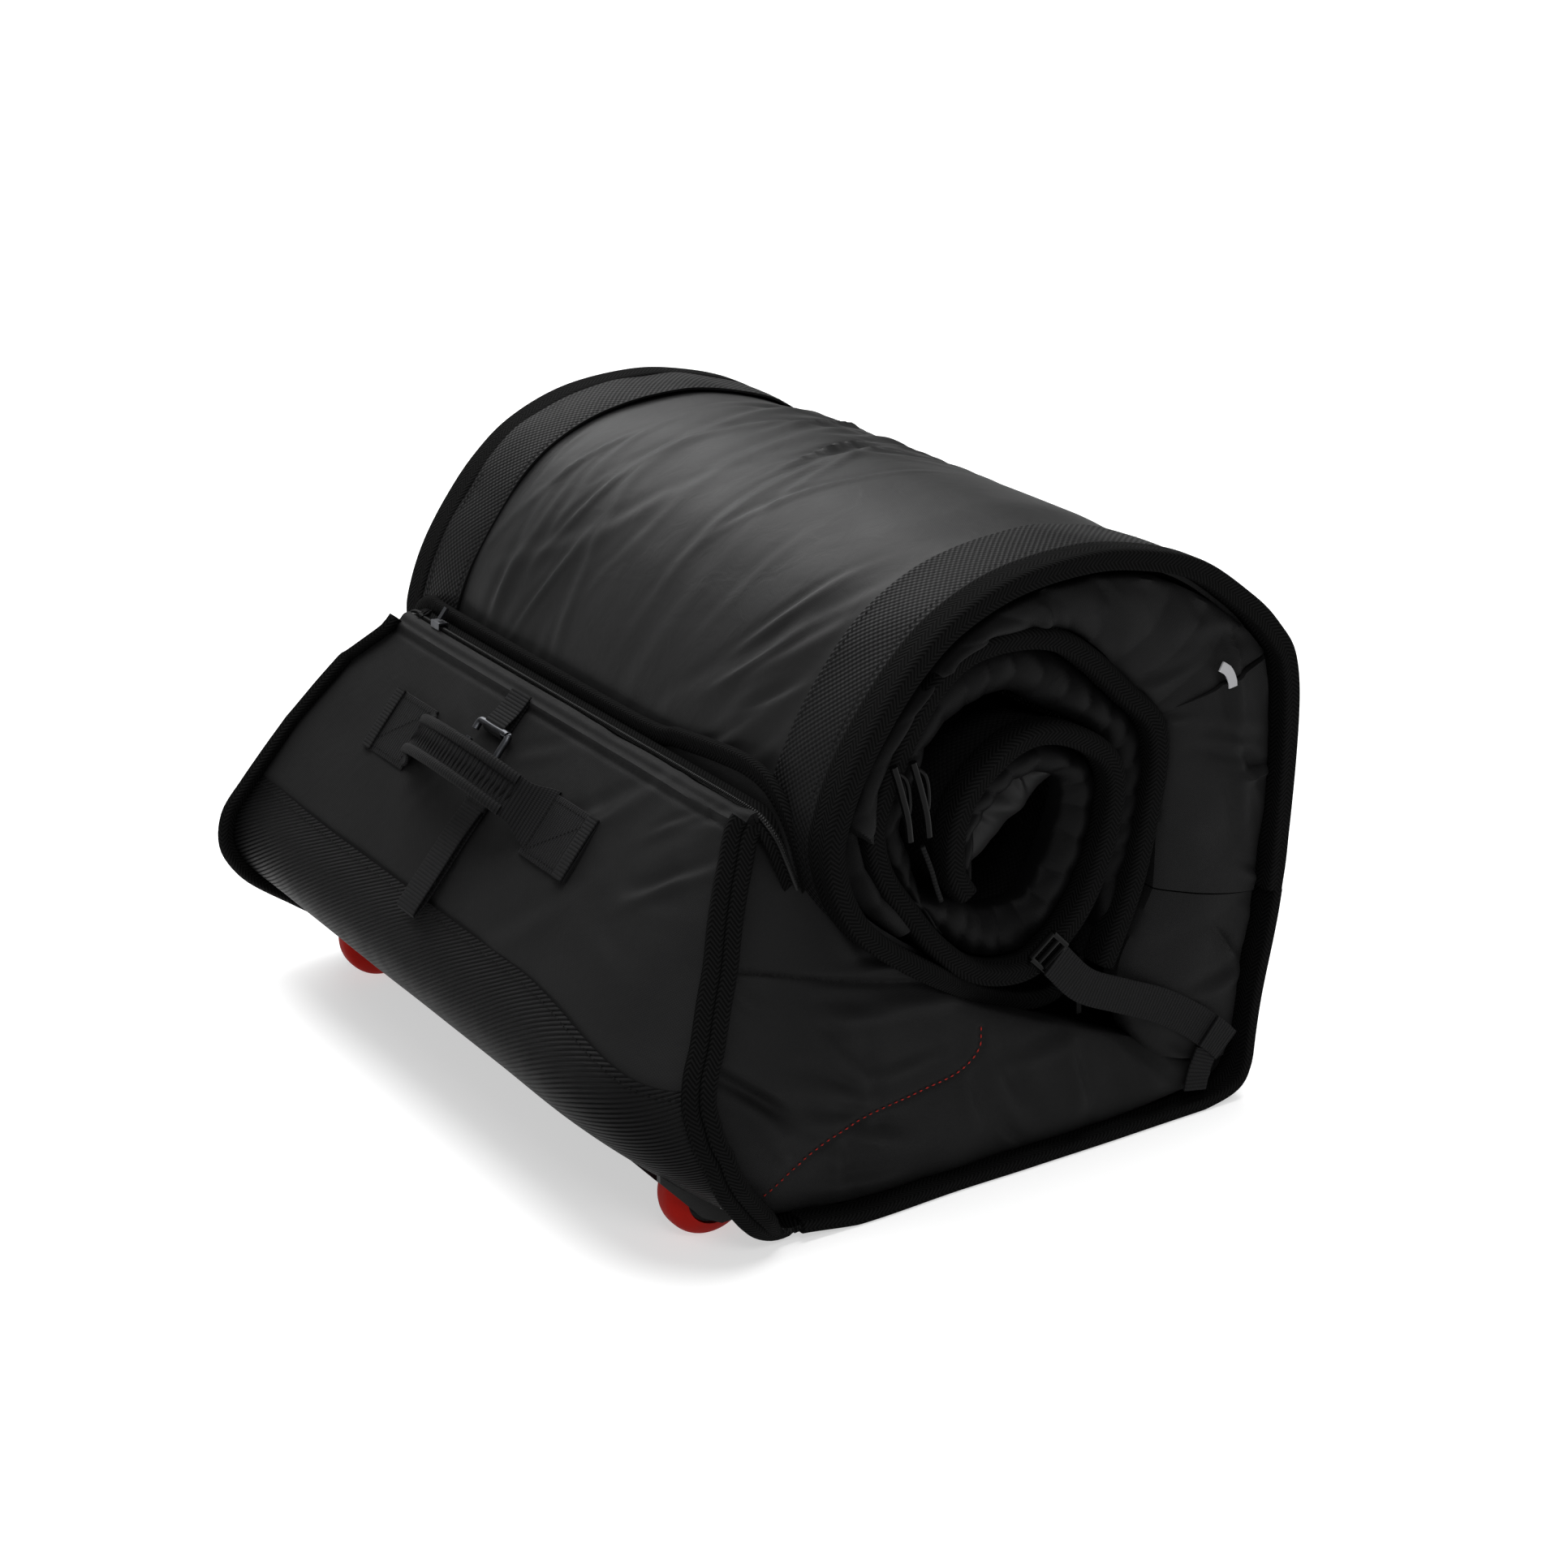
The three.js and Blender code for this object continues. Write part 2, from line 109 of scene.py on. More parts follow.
def distance_along(line):
    return np.r_[0, np.cumsum(np.linalg.norm(np.diff(line, axis=0), axis=1))]


def even(line, step):
    """The same line with evenly spaced points."""
    along = distance_along(line)
    count = max(int(along[-1] / step), 2) + 1
    where = np.linspace(0, along[-1], count)
    return np.column_stack([np.interp(where, along, column) for column in line.T])


def unit(vectors):
    return vectors / np.linalg.norm(vectors, axis=1)[:, None]


def directions(line):
    """Unit vectors along a line, one at each of its points."""
    return unit(np.gradient(line, axis=0))


def outward(line):
    """Unit normals to the right of a line in x and z: out of the bag on its bottom panel."""
    ahead = directions(line)
    return np.column_stack([ahead[:, 1], -ahead[:, 0]])


def in_plane(line, y):
    """A line in x and z, placed at y."""
    return np.column_stack([line[:, 0], np.broadcast_to(y, len(line)), line[:, 1]])


def offset_grid(route, normals, height, across):
    """Points at a height over a route in x and z, spread across the bag."""
    grid = np.empty(np.broadcast(height, across).shape + (3,))
    grid[..., 0] = route[:, :1] + normals[:, :1] * height
    grid[..., 1] = across
    grid[..., 2] = route[:, 1:] + normals[:, 1:] * height
    return grid


def smoothstep(value, low, high):
    t = np.clip((value - low) / (high - low), 0, 1)
    return t * t * (3 - 2 * t)


def noise(u, v, size, seed):
    """Smooth random heights from -1 to 1, repeating only over a long distance."""
    table = np.random.default_rng(seed).uniform(-1, 1, (64, 64))
    u, v = np.broadcast_arrays(u / size, v / size)
    i, j = np.floor(u).astype(int), np.floor(v).astype(int)
    a, b = smoothstep(u - i, 0, 1), smoothstep(v - j, 0, 1)
    low = table[i % 64, j % 64] * (1 - a) + table[(i + 1) % 64, j % 64] * a
    high = table[i % 64, (j + 1) % 64] * (1 - a) + table[(i + 1) % 64, (j + 1) % 64] * a
    return low * (1 - b) + high * b


def fold(u, v, centre, angle, length, width, height):
    """One soft fold: a ridge at an angle in degrees, with a shallow valley on one side."""
    turn = math.radians(angle)
    along = (u - centre[0]) * math.cos(turn) + (v - centre[1]) * math.sin(turn)
    across = (v - centre[1]) * math.cos(turn) - (u - centre[0]) * math.sin(turn)
    across = across - 0.0012 * along ** 2 * np.sign(height)
    ridge = np.exp(-(across / width) ** 2) - 0.7 * np.exp(-((across - 1.6 * width) / width) ** 2)
    return height * ridge * np.exp(-(along / length) ** 2)


def random_folds(u, v, seed, count, low, high, angles, length, width, height):
    """Many small folds with places, angles and sizes drawn from a seeded generator."""
    rng = np.random.default_rng(seed)
    total = 0.0
    for _ in range(count):
        centre = rng.uniform(low, high)
        size = rng.uniform(0.5, 1.3)
        angle = rng.uniform(*angles)
        rise = height * rng.uniform(0.3, 1)
        total = total + fold(u, v, centre, angle, length * size, width * size, rise)
    return total


def pucker(s, v, pitch, skew, seed):
    """Gathers across a strip: sharp valleys and round ridges with an uneven pitch."""
    uneven = 0.55 * noise(s, 40 * v, 2.3 * pitch, seed)
    phase = s / pitch + uneven + skew * v
    return np.abs(np.sin(math.pi * phase)) ** 0.7 * (0.6 + 0.4 * noise(s, 30 * v, 1.7 * pitch, seed + 1))


# ---- meshes

def make_object(name, points, faces, uvs, look, sharp=45):
    """A mesh object in the row frame. uvs are metres along and across, one pair for each face corner."""
    mesh = bpy.data.meshes.new(name)
    mesh.from_pydata(to_row(points).tolist(), [], faces)
    layer = mesh.uv_layers.new(name="UVMap")
    layer.data.foreach_set("uv", (np.asarray(uvs, float) / 1000).ravel())
    work = bmesh.new()
    work.from_mesh(mesh)
    bmesh.ops.recalc_face_normals(work, faces=work.faces)
    loose = [vertex for vertex in work.verts if not vertex.link_faces]
    bmesh.ops.delete(work, geom=loose, context="VERTS")
    work.to_mesh(mesh)
    work.free()
    mesh.shade_smooth()
    mesh.set_sharp_from_angle(angle=math.radians(sharp))
    mesh.materials.append(LOOKS[look])
    obj = bpy.data.objects.new(name, mesh)
    bpy.context.scene.collection.objects.link(obj)
    return obj


def quads(n, m, rows, us, vs):
    """Faces and uvs from each of the first rows of n closed loops of m points to the next loop."""
    faces, uvs = [], []
    for i in range(rows):
        for j in range(m):
            a, b = (i + 1) % n, (j + 1) % m
            faces.append((i * m + j, a * m + j, a * m + b, i * m + b))
            uvs += [(us[i], vs[j]), (us[i + 1], vs[j]), (us[i + 1], vs[j + 1]), (us[i], vs[j + 1])]
    return faces, uvs


def loft(name, loops, look):
    """A closed skin through a row of closed loops, with both ends capped."""
    n, m, _ = loops.shape
    along = distance_along(loops.mean(axis=1))
    around = distance_along(np.concatenate([loops[n // 2], loops[n // 2][:1]]))
    faces, uvs = quads(n, m, n - 1, along, around)
    for row in (0, n - 1):
        faces.append(tuple(range(row * m, row * m + m)))
        uvs += [(along[row], value) for value in around[:m]]
    return make_object(name, loops.reshape(-1, 3), faces, uvs, look)


def shell(name, front, back, look, keep=None):
    """Two matching grids joined round their edges. keep says which cells are there."""
    n, m, _ = front.shape
    if keep is None:
        keep = np.ones((n - 1, m - 1), bool)
    there = np.pad(keep, 1)
    us = distance_along(front[:, m // 2])
    vs = distance_along(front[n // 2])
    other = n * m
    faces, uvs = [], []
    for i, j in zip(*np.nonzero(keep)):
        cell = [(i, j), (i + 1, j), (i + 1, j + 1), (i, j + 1)]
        near = [a * m + b for a, b in cell]
        places = [(us[a], vs[b]) for a, b in cell]
        faces += [tuple(near), tuple(other + k for k in reversed(near))]
        uvs += places + places[::-1]
        beside = [there[i + 1, j], there[i + 2, j + 1], there[i + 1, j + 2], there[i, j + 1]]
        for side in range(4):
            if not beside[side]:
                a, b = near[side], near[(side + 1) % 4]
                faces.append((a, b, other + b, other + a))
                uvs += [places[side], places[(side + 1) % 4]] * 2
    points = np.concatenate([front.reshape(-1, 3), back.reshape(-1, 3)])
    return make_object(name, points, faces, uvs, look)


def bar_section(width, thick, square=0.45, count=20):
    """A closed loop in (across, out): a flat bar with rounded corners."""
    angle = np.linspace(0, 2 * math.pi, count, endpoint=False)
    across = np.sign(np.cos(angle)) * np.abs(np.cos(angle)) ** square * width / 2
    out = np.sign(np.sin(angle)) * np.abs(np.sin(angle)) ** square * thick / 2
    return np.column_stack([across, out])


def sweep(name, route, across, out, section, look):
    """A section carried along a route, with its own across and out directions at each point."""
    side = np.broadcast_to(np.asarray(across, float), route.shape)[:, None, :]
    up = np.broadcast_to(np.asarray(out, float), route.shape)[:, None, :]
    shape = np.broadcast_to(section, (len(route),) + section.shape[-2:])
    loops = route[:, None, :] + side * shape[..., :1] + up * shape[..., 1:]
    return loft(name, loops, look)


def dashes(name, route, out, look, length=3.0, pitch=4.6, width=0.9, height=0.5, turned=False):
    """Stitches or teeth: one small raised diamond at each step of a route."""
    route = even(route, pitch)
    ahead = directions(route)
    up = np.broadcast_to(np.asarray(out, float), route.shape)
    side = np.cross(ahead, up)
    if turned:
        ahead, side = side, ahead
    points, faces, uvs = [], [], []
    for centre, a, s, u in zip(route, ahead, side, up):
        base = len(points)
        points += [centre + a * length / 2, centre - a * length / 2, centre + s * width / 2]
        points += [centre - s * width / 2, centre + u * height, centre - u * height]
        for tip in (0, 1):
            for flank, top in ((2, 4), (4, 3), (3, 5), (5, 2)):
                faces.append((base + tip, base + flank, base + top))
                uvs += [(0, 0), (length, 0), (0, width)]
    return make_object(name, np.array(points), faces, uvs, look, 180)


# ---- materials

def set_inputs(node, values):
    for name, value in values.items():
        node.inputs[name].default_value = value


class Look:
    """A Principled material with short helpers to wire nodes into it."""

    def __init__(self, name, colour, roughness, metallic=0.0, specular=0.5):
        self.material = bpy.data.materials.new(name)
        self.material.use_nodes = True
        self.nodes = self.material.node_tree.nodes
        self.links = self.material.node_tree.links
        self.shader = self.nodes["Principled BSDF"]
        self.colour = colour
        set_inputs(self.shader, {"Base Color": (*colour, 1), "Roughness": roughness,
                                 "Metallic": metallic, "Specular IOR Level": specular})

    def math(self, operation, *values):
        node = self.nodes.new("ShaderNodeMath")
        node.operation = operation
        for i, value in enumerate(values):
            if isinstance(value, (int, float)):
                node.inputs[i].default_value = value
            else:
                self.links.new(value, node.inputs[i])
        return node.outputs[0]

    def uv(self):
        place = self.nodes.new("ShaderNodeUVMap")
        place.uv_map = "UVMap"
        split = self.nodes.new("ShaderNodeSeparateXYZ")
        self.links.new(place.outputs[0], split.inputs[0])
        return split.outputs[0], split.outputs[1]

    def cloud(self, scale, detail=4.0, distortion=0.0):
        """Smooth noise over the object."""
        node = self.nodes.new("ShaderNodeTexNoise")
        set_inputs(node, {"Scale": scale, "Detail": detail, "Distortion": distortion})
        place = self.nodes.new("ShaderNodeTexCoord")
        self.links.new(place.outputs["Object"], node.inputs["Vector"])
        return node.outputs["Fac"]

    def wave(self, value, pitch):
        """A sine from -1 to 1 along a length in metres."""
        return self.math("SINE", self.math("MULTIPLY", value, 2 * math.pi / pitch))

    def half(self, value):
        """A value from -1 to 1 brought to 0 to 1."""
        return self.math("MULTIPLY_ADD", value, 0.5, 0.5)

    def bump(self, height, distance, strength=1.0):
        node = self.nodes.new("ShaderNodeBump")
        set_inputs(node, {"Distance": distance, "Strength": strength})
        self.links.new(height, node.inputs["Height"])
        before = self.shader.inputs["Normal"].links
        if before:
            self.links.new(before[0].from_socket, node.inputs["Normal"])
        self.links.new(node.outputs[0], self.shader.inputs["Normal"])

    def vary(self, factor, dark, light):
        """Base colour from dark to light times the look's own colour."""
        node = self.nodes.new("ShaderNodeMix")
        node.data_type = "RGBA"
        for socket, times in (("A", dark), ("B", light)):
            node.inputs[socket].default_value = (*[times * c for c in self.colour], 1)
        self.links.new(factor, node.inputs["Factor"])
        self.links.new(node.outputs["Result"], self.shader.inputs["Base Color"])

    def rough(self, factor, low, high):
        node = self.nodes.new("ShaderNodeMapRange")
        set_inputs(node, {"To Min": low, "To Max": high})
        self.links.new(factor, node.inputs["Value"])
        self.links.new(node.outputs[0], self.shader.inputs["Roughness"])


def plain_weave(look, pitch):
    """Threads over and under each other, each one pitch wide, in metres."""
    u, v = look.uv()
    return look.half(look.math("MULTIPLY", look.wave(u, 2 * pitch), look.wave(v, 2 * pitch)))


def smooth_nylon():
    """Coated nylon with a soft satin sheen and fine crush marks."""
    look = Look("smooth_nylon", (0.0085, 0.0085, 0.0086), 0.5, specular=0.13)
    look.bump(look.cloud(55, 5, 0.6), 0.0012, 0.35)
    look.bump(plain_weave(look, 0.0006), 0.00008, 0.5)
    look.vary(look.cloud(9, 3), 0.8, 1.25)
    look.rough(look.cloud(30, 4), 0.45, 0.57)
    return look.material


def wall_nylon():
    """Matt nylon of the side walls and the end panel."""
    look = Look("wall_nylon", (0.0085, 0.0085, 0.0086), 0.58, specular=0.05)
    look.bump(look.cloud(70, 5, 0.8), 0.001, 0.3)
    look.bump(plain_weave(look, 0.0008), 0.00014, 0.7)
    look.vary(look.cloud(14, 4), 0.75, 1.3)
    look.rough(look.cloud(40, 4), 0.54, 0.72)
    return look.material


def ballistic():
    """Coarse basket weave with a painted light glint on each crossing: its base colour is lighter there, and the
    crossings are also glossier.
    """
    look = Look("ballistic_weave", (0.0034, 0.0034, 0.0035), 0.5, specular=0.07)
    weave = plain_weave(look, 0.0023)
    look.bump(weave, 0.0005)
    # painted highlight: the base colour is lighter on each crossing of the weave, as a glint
    look.vary(weave, 0.45, 2.3)
    look.rough(weave, 0.75, 0.42)
    return look.material


def twill():
    """Binding tape in herringbone."""
    look = Look("twill_tape", (0.0024, 0.0024, 0.0024), 0.85, specular=0.03)
    u, v = look.uv()
    side = look.math("PINGPONG", v, 0.006)
    rib = look.half(look.wave(look.math("ADD", u, side), 0.0032))
    look.bump(look.cloud(160, 4), 0.0006, 0.3)
    look.bump(rib, 0.0005, 0.9)
    look.vary(rib, 0.45, 2.2)
    return look.material


def webbing():
    """Woven strap with ribs across it and firm edges."""
    look = Look("webbing", (0.0058, 0.0058, 0.006), 0.7, specular=0.06)
    u, v = look.uv()
    rib = look.math("ABSOLUTE", look.wave(u, 0.0052))
    threads = look.half(look.wave(v, 0.0011))
    both = look.math("ADD", rib, look.math("MULTIPLY", threads, 0.35))
    look.bump(both, 0.0004, 0.8)
    look.vary(rib, 0.6, 1.5)
    return look.material


def scuff():
    """Rubbery ribbed cloth of the band at the wheel end."""
    look = Look("scuff_band", (0.003, 0.003, 0.0031), 0.5, specular=0.05)
    u, v = look.uv()
    climb = look.math("MULTIPLY", u, math.cos(RIB_ANGLE))
    slant = look.math("MULTIPLY_ADD", v, math.sin(RIB_ANGLE), climb)
    rib = look.math("ABSOLUTE", look.wave(slant, 2 * RIB_PITCH))
    look.bump(look.cloud(500, 3), 0.0002, 0.5)
    look.bump(rib, 0.0015)
    look.vary(rib, 0.3, 1.7)
    look.rough(look.cloud(60, 3), 0.45, 0.62)
    return look.material


def lining():
    """Thin crumpled cloth inside the bag."""
    look = Look("lining", (0.0021, 0.0021, 0.0022), 0.5, specular=0.06)
    look.bump(look.cloud(45, 5, 1.0), 0.002, 0.4)
    look.bump(plain_weave(look, 0.0007), 0.0001, 0.5)
    look.vary(look.cloud(20, 4), 0.7, 1.3)
    return look.material


def moulded(name, colour, roughness, grain, specular=0.4):
    """Moulded plastic with a fine grain."""
    look = Look(name, colour, roughness, specular=specular)
    look.bump(look.cloud(900, 3), 0.0002, grain)
    look.vary(look.cloud(25, 3), 0.85, 1.2)
    look.rough(look.cloud(200, 3), roughness * 0.8, roughness * 1.25)
    return look.material


def urethane():
    """Red wheel tyre with dull scuffed patches."""
    look = Look("red_urethane", (0.27, 0.007, 0.004), 0.5, specular=0.04)
    look.bump(look.cloud(260, 5), 0.0003, 0.35)
    look.vary(look.cloud(60, 5), 0.75, 1.15)
    look.rough(look.cloud(90, 4), 0.42, 0.65)
    return look.material


def metal(name, colour, roughness):
    """Brushed and slightly soiled metal."""
    look = Look(name, colour, roughness, metallic=1.0)
    look.bump(look.cloud(700, 3), 0.0001, 0.3)
    look.vary(look.cloud(130, 4), 0.8, 1.1)
    look.rough(look.cloud(180, 4), roughness * 0.7, roughness * 1.4)
    return look.material


def thread(name, colour):
    """Sewing thread."""
    look = Look(name, colour, 0.7, specular=0.1)
    look.vary(look.cloud(400, 3), 0.7, 1.2)
    return look.material


LOOKS = {
    "nylon": smooth_nylon(), "wall": wall_nylon(), "ballistic": ballistic(), "twill": twill(),
    "webbing": webbing(), "band": scuff(), "lining": lining(),
    "plastic": moulded("black_plastic", (0.006, 0.006, 0.006), 0.4, 0.5, 0.15),
    "gloss": moulded("gloss_plastic", (0.002, 0.002, 0.002), 0.14, 0.1, 0.08),
    "urethane": urethane(),
    "steel": metal("bright_steel", (0.62, 0.63, 0.65), 0.25),
    "gunmetal": metal("dark_metal", (0.085, 0.088, 0.096), 0.34),
    "ribbon": moulded("silver_ribbon", (0.3, 0.3, 0.31), 0.3, 0.8),
    "thread": thread("black_thread", (0.0025, 0.0025, 0.0025)),
    "red_thread": thread("red_thread", (0.34, 0.02, 0.015)),
}
SLOTS = {name: name for name in ("nylon", "twill", "webbing", "band", "lining", "plastic", "gloss",
                                 "urethane", "steel", "gunmetal")}
SLOTS.update(wall="nylon", ballistic="band", thread="twill", red_thread="twill", ribbon="steel")


# ---- baking pieces in place, or attaching them to the bodies

def bend_a(obj):
    """Bake the place of a piece that crosses the lower fold into its mesh, and bend_b the same for one that
    crosses the upper fold.
    """
    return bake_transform(obj)


def bend_b(obj):
    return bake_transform(obj)


def on(body):
    """Attach a piece that rides on one body."""
    return lambda obj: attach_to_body(obj, body)


# ---- the padded bottom panel

def main_relief(s, y):
    """Heights over the smooth panel, in mm. s runs from the wheel end along the outer line."""
    puff = 3.0 * (1 - smoothstep(np.abs(y), 150, BAND_FROM)) + 1.5 * noise(s, y, 90, 3)
    folds = random_folds(s, y, 11, 26, (700, -70), (940, 165), (-24, 16), 100, 6, 2.6)
    folds += random_folds(s, y, 12, 12, (940, 70), (1090, 200), (-15, 22), 70, 5, 1.8)
    folds += random_folds(s, y, 13, 12, (1010, -212), (1180, -125), (30, 58), 60, 5, 2.2)
    folds += random_folds(s, y, 15, 14, (960, -180), (1230, 150), (10, 60), 80, 8, 0.8)
    folds += random_folds(s, y, 14, 20, (380, -200), (700, 200), (40, 130), 60, 6, 1.8)
    edge = 1 - smoothstep(np.abs(y), BAND_FROM - 12, BAND_FROM)
    return puff + folds * edge


def woven_band(name, surface, s, side, sign):
    """The reinforcement band along one edge of the panel. s is the distance along its whole length."""
    share = np.linspace(0, 1, 16)[None, :]
    across = sign * (BAND_FROM + (BAND_TO + 3 - BAND_FROM) * share) + 1.5 * noise(s, 0, 110, 21)
    lift = 1.0 + 1.6 * np.sin(math.pi * (0.05 + 0.85 * share)) ** 0.6
    lift = lift + 0.9 * noise(s, across, 28, 22)
    front = surface(lift, across)
    return shell(f"{name}_band_{side}", front, surface(lift - 1.6, across), "ballistic")


def panel_piece(name, line, start, attach, replaced, edge_thick, tuck=0.0):
    """One length of the padded panel with its two woven bands, two bindings and stitch lines.

    tuck is how much narrower it gets over its last stretch, where it goes under the roll."""
    route = even(curve(line), ROUTE_STEP)
    normals = outward(route)
    here = distance_along(route)[:, None]
    narrow = 1 - tuck / SHEET_EDGE * smoothstep(here, here[-1] - 190, here[-1] - 60)
    s = here + start

    def surface(height, across):
        grid = offset_grid(route, normals, height, across * narrow)
        grid[..., 2] = np.maximum(grid[..., 2], FLOOR_GAP)
        return grid

    ys = np.linspace(-BAND_TO, BAND_TO, 150)[None, :]
    top = surface(main_relief(s, ys) - 1.2, ys)
    inner = surface(-SHEET_THICK + 1.5 * noise(s, ys, 45, 8), ys)
    panel = shell(f"{name}_panel", top, inner, "nylon")
    pieces = [panel]
    wobble = 1.2 * noise(s, 0 * s, 60, 5)[:, 0]
    out = in_plane(normals, 0)
    for side, sign in SIDES:
        pieces.append(woven_band(name, surface, s, side, sign))
        centre = route - normals * (edge_thick / 2 - 3 + wobble[:, None] * 0.6)
        centre[:, 1] = np.maximum(centre[:, 1], edge_thick / 2 + 0.3)
        middle = in_plane(centre, (sign * (SHEET_EDGE - BINDING_WIDTH / 2) + wobble) * narrow[:, 0])
        section = bar_section(BINDING_WIDTH, edge_thick, 0.3, 32)
        pieces.append(sweep(f"{name}_binding_{side}", middle, (0, 1, 0), out, section, "twill"))
        for label, place in (("inner", BAND_FROM + 4), ("outer", BAND_TO - 6)):
            stitch = in_plane(route + normals * 2.3, sign * place * narrow[:, 0])
            pieces.append(dashes(f"{name}_stitch_{label}_{side}", stitch, out[0], "thread"))
    for piece in pieces:
        attach(piece)
    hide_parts(*replaced)


def bottom_panel():
    """The one long sheet, in two pieces that meet at the middle of the back."""
    lower = FLOOR + BACK_LOW
    upper = BACK_LOW[-1:] + BACK_HIGH + TOP + FRONT + TUCK
    panel_piece("lower", lower, 0.0, bend_a, ["floor_panel"], 8.5)
    start = distance_along(even(curve(lower), ROUTE_STEP))[-1]
    panel_piece("upper", upper, start, bend_b, ["back_panel", "top_panel", "front_panel"], 14, 34)


def inner_turns():
    """The second turn of the panel and the loose tongue of the core."""
    route = even(curve(TURN_TWO), ROUTE_STEP)
    normals = outward(route)
    s = distance_along(route)[:, None]
    ys = np.linspace(-252, 252, 60)[None, :]
    bulge = 0.75 * noise(s, ys, 60, 31)
    bulge += 0.5 * random_folds(s, ys, 32, 40, (0, -250), (1500, 250), (60, 120), 50, 6, 2)
    front = offset_grid(route, normals, 4 + bulge, ys)
    turn = shell("inner_turn_panel", front, offset_grid(route, normals, -5 + bulge, ys), "ballistic")
    pieces = [turn]
    for side, sign in SIDES:
        middle = in_plane(route, sign * 262 + 2.0 * noise(s, 0, 70, 33)[:, 0])
        section = bar_section(22, 15, 0.5, 24)
        out = in_plane(normals, 0)
        pieces.append(sweep(f"inner_binding_{side}", middle, (0, 1, 0), out, section, "twill"))
    for piece in pieces:
        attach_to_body(piece, "roll")
    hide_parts("inner_turn", "core_loop")


# ---- side walls of the roll

FRONTS = {}               # the outer face of each side wall, for what is laid on it


def gusset(name, rows, face, depth, puff, gathers, attach, look="wall", seed=50, count=26,
           relief=None, sides=SIDES):
    """A puffy strip between an outer and an inner line, gathered across its width.

    rows holds (outer x, outer z, inner x, inner z) along the strip.
    gathers is (height, pitch, skew): how deep, how far apart and how slanted the gathers are.
    relief(x, z) adds to the height of the whole wall."""
    outer, inner = np.split(curve(rows, 22), 2, axis=1)
    s = distance_along((outer + inner) / 2)[:, None]
    v = np.linspace(0, 1, count)[None, :]
    x = outer[:, :1] * (1 - v) + inner[:, :1] * v
    z = outer[:, 1:] * (1 - v) + inner[:, 1:] * v
    height, pitch, skew = gathers
    crown = np.sin(math.pi * v) ** 0.55
    near_edges = 0.35 + 0.65 * np.abs(1 - 2 * v) ** 1.5
    creased = height * (pucker(s, v, pitch, skew, seed) - 0.6) * near_edges
    swell = puff * crown + creased * (0.25 + 0.75 * crown) + 1.2 * noise(x, z, 30, seed + 2)
    if relief:
        swell = swell + relief(x, z) * np.sin(math.pi * v) ** 0.3
    made = []
    for side, sign in sides:
        base = face - lean(x, z, sign)
        front = np.stack([x, sign * (base + swell), z], axis=-1)
        behind = np.stack([x, sign * (base - depth), z], axis=-1)
        FRONTS[f"{name}_{side}"] = front
        piece = shell(f"{name}_{side}", front, behind, look)
        attach(piece)
        made.append(piece)
    return made


def half_width(z, sign):
    return np.interp(z, CORNER_HEIGHTS, HALF_WIDTHS[sign])


def lean(x, z, sign):
    """How far a side wall of the wheel end leans in. It fades out before the roll."""
    return (SHEET_EDGE - half_width(z, sign)) * (1 - smoothstep(x, 0, 110)) * (x + z < 330)


def laid_on(wall, line, lift):
    """A line in x and z laid on the face of a side wall, a little proud of it."""
    face = FRONTS[wall].reshape(-1, 3)
    gaps = np.linalg.norm(face[None, :, ::2] - line[:, None, :], axis=2)
    y = face[gaps.argmin(axis=1), 1]
    return in_plane(line, y + np.sign(y) * lift)


def groove(x, z, points, width, depth):
    """A sewn line pressed into a wall."""
    line = even(curve(points), 1.2)
    gaps = np.hypot(x[..., None] - line[:, 0], z[..., None] - line[:, 1]).min(axis=-1)
    return -depth * np.exp(-(gaps / width) ** 2)


def pad_relief(x, z):
    """Slack creases of a soft pad."""
    total = random_folds(x, z, 151, 34, (120, 40), (400, 400), (-70, 20), 28, 5, 6.5)
    total += random_folds(x, z, 152, 26, (60, 40), (400, 400), (100, 170), 34, 6, 5.0)
    return total + 2 * noise(x, z, 34, 153)


# Each side wall of the roll, in rows of (outer x, outer z, inner x, inner z).
WALL_LOWER = [(374, 30, 300, 52), (380, 48, 286, 78), (384, 92, 278, 118), (392, 148, 304, 169)]
WALL_UPPER = [(392, 149, 304, 170), (397, 205, 306, 222), (397, 265, 307, 268), (389, 315, 302, 293)]
WALL_TOP = [(388, 318, 304, 292), (366, 340, 290, 303), (330, 366, 272, 322), (280, 389, 246, 348),
            (229, 394, 222, 363), (180, 387, 184, 369), (140, 370, 146, 364), (112, 345, 120, 346),
            (84, 312, 100, 318), (64, 280, 82, 284), (58, 246, 79, 250), (70, 214, 88, 222),
            (98, 186, 112, 196)]
WALL_SECOND = [(268, 140, 266, 142), (288, 176, 266, 184), (296, 219, 272, 222), (298, 262, 274, 256),
               (288, 288, 262, 280), (266, 308, 240, 296), (238, 334, 212, 312), (212, 351, 190, 326),
               (183, 358, 168, 326), (150, 354, 146, 318), (128, 340, 130, 306), (112, 316, 120, 290),
               (98, 288, 112, 266), (88, 262, 106, 252), (92, 236, 112, 238), (108, 208, 120, 212),
               (134, 176, 137, 178)]
WALL_CORE = [(108, 206, 111, 208), (134, 178, 150, 196), (162, 154, 172, 184), (198, 147, 200, 184),
             (224, 162, 212, 196), (242, 186, 222, 214), (256, 226, 230, 236), (257, 256, 232, 252),
             (244, 273, 226, 262), (214, 290, 206, 268), (186, 288, 186, 262), (160, 270, 170, 248),
             (148, 250, 162, 236), (147, 224, 162, 224), (154, 206, 158, 206)]
TONGUE = [(156, 204, 170, 198), (153, 236, 186, 212), (163, 262, 204, 228), (190, 280, 222, 243),
          (220, 280, 238, 256)]


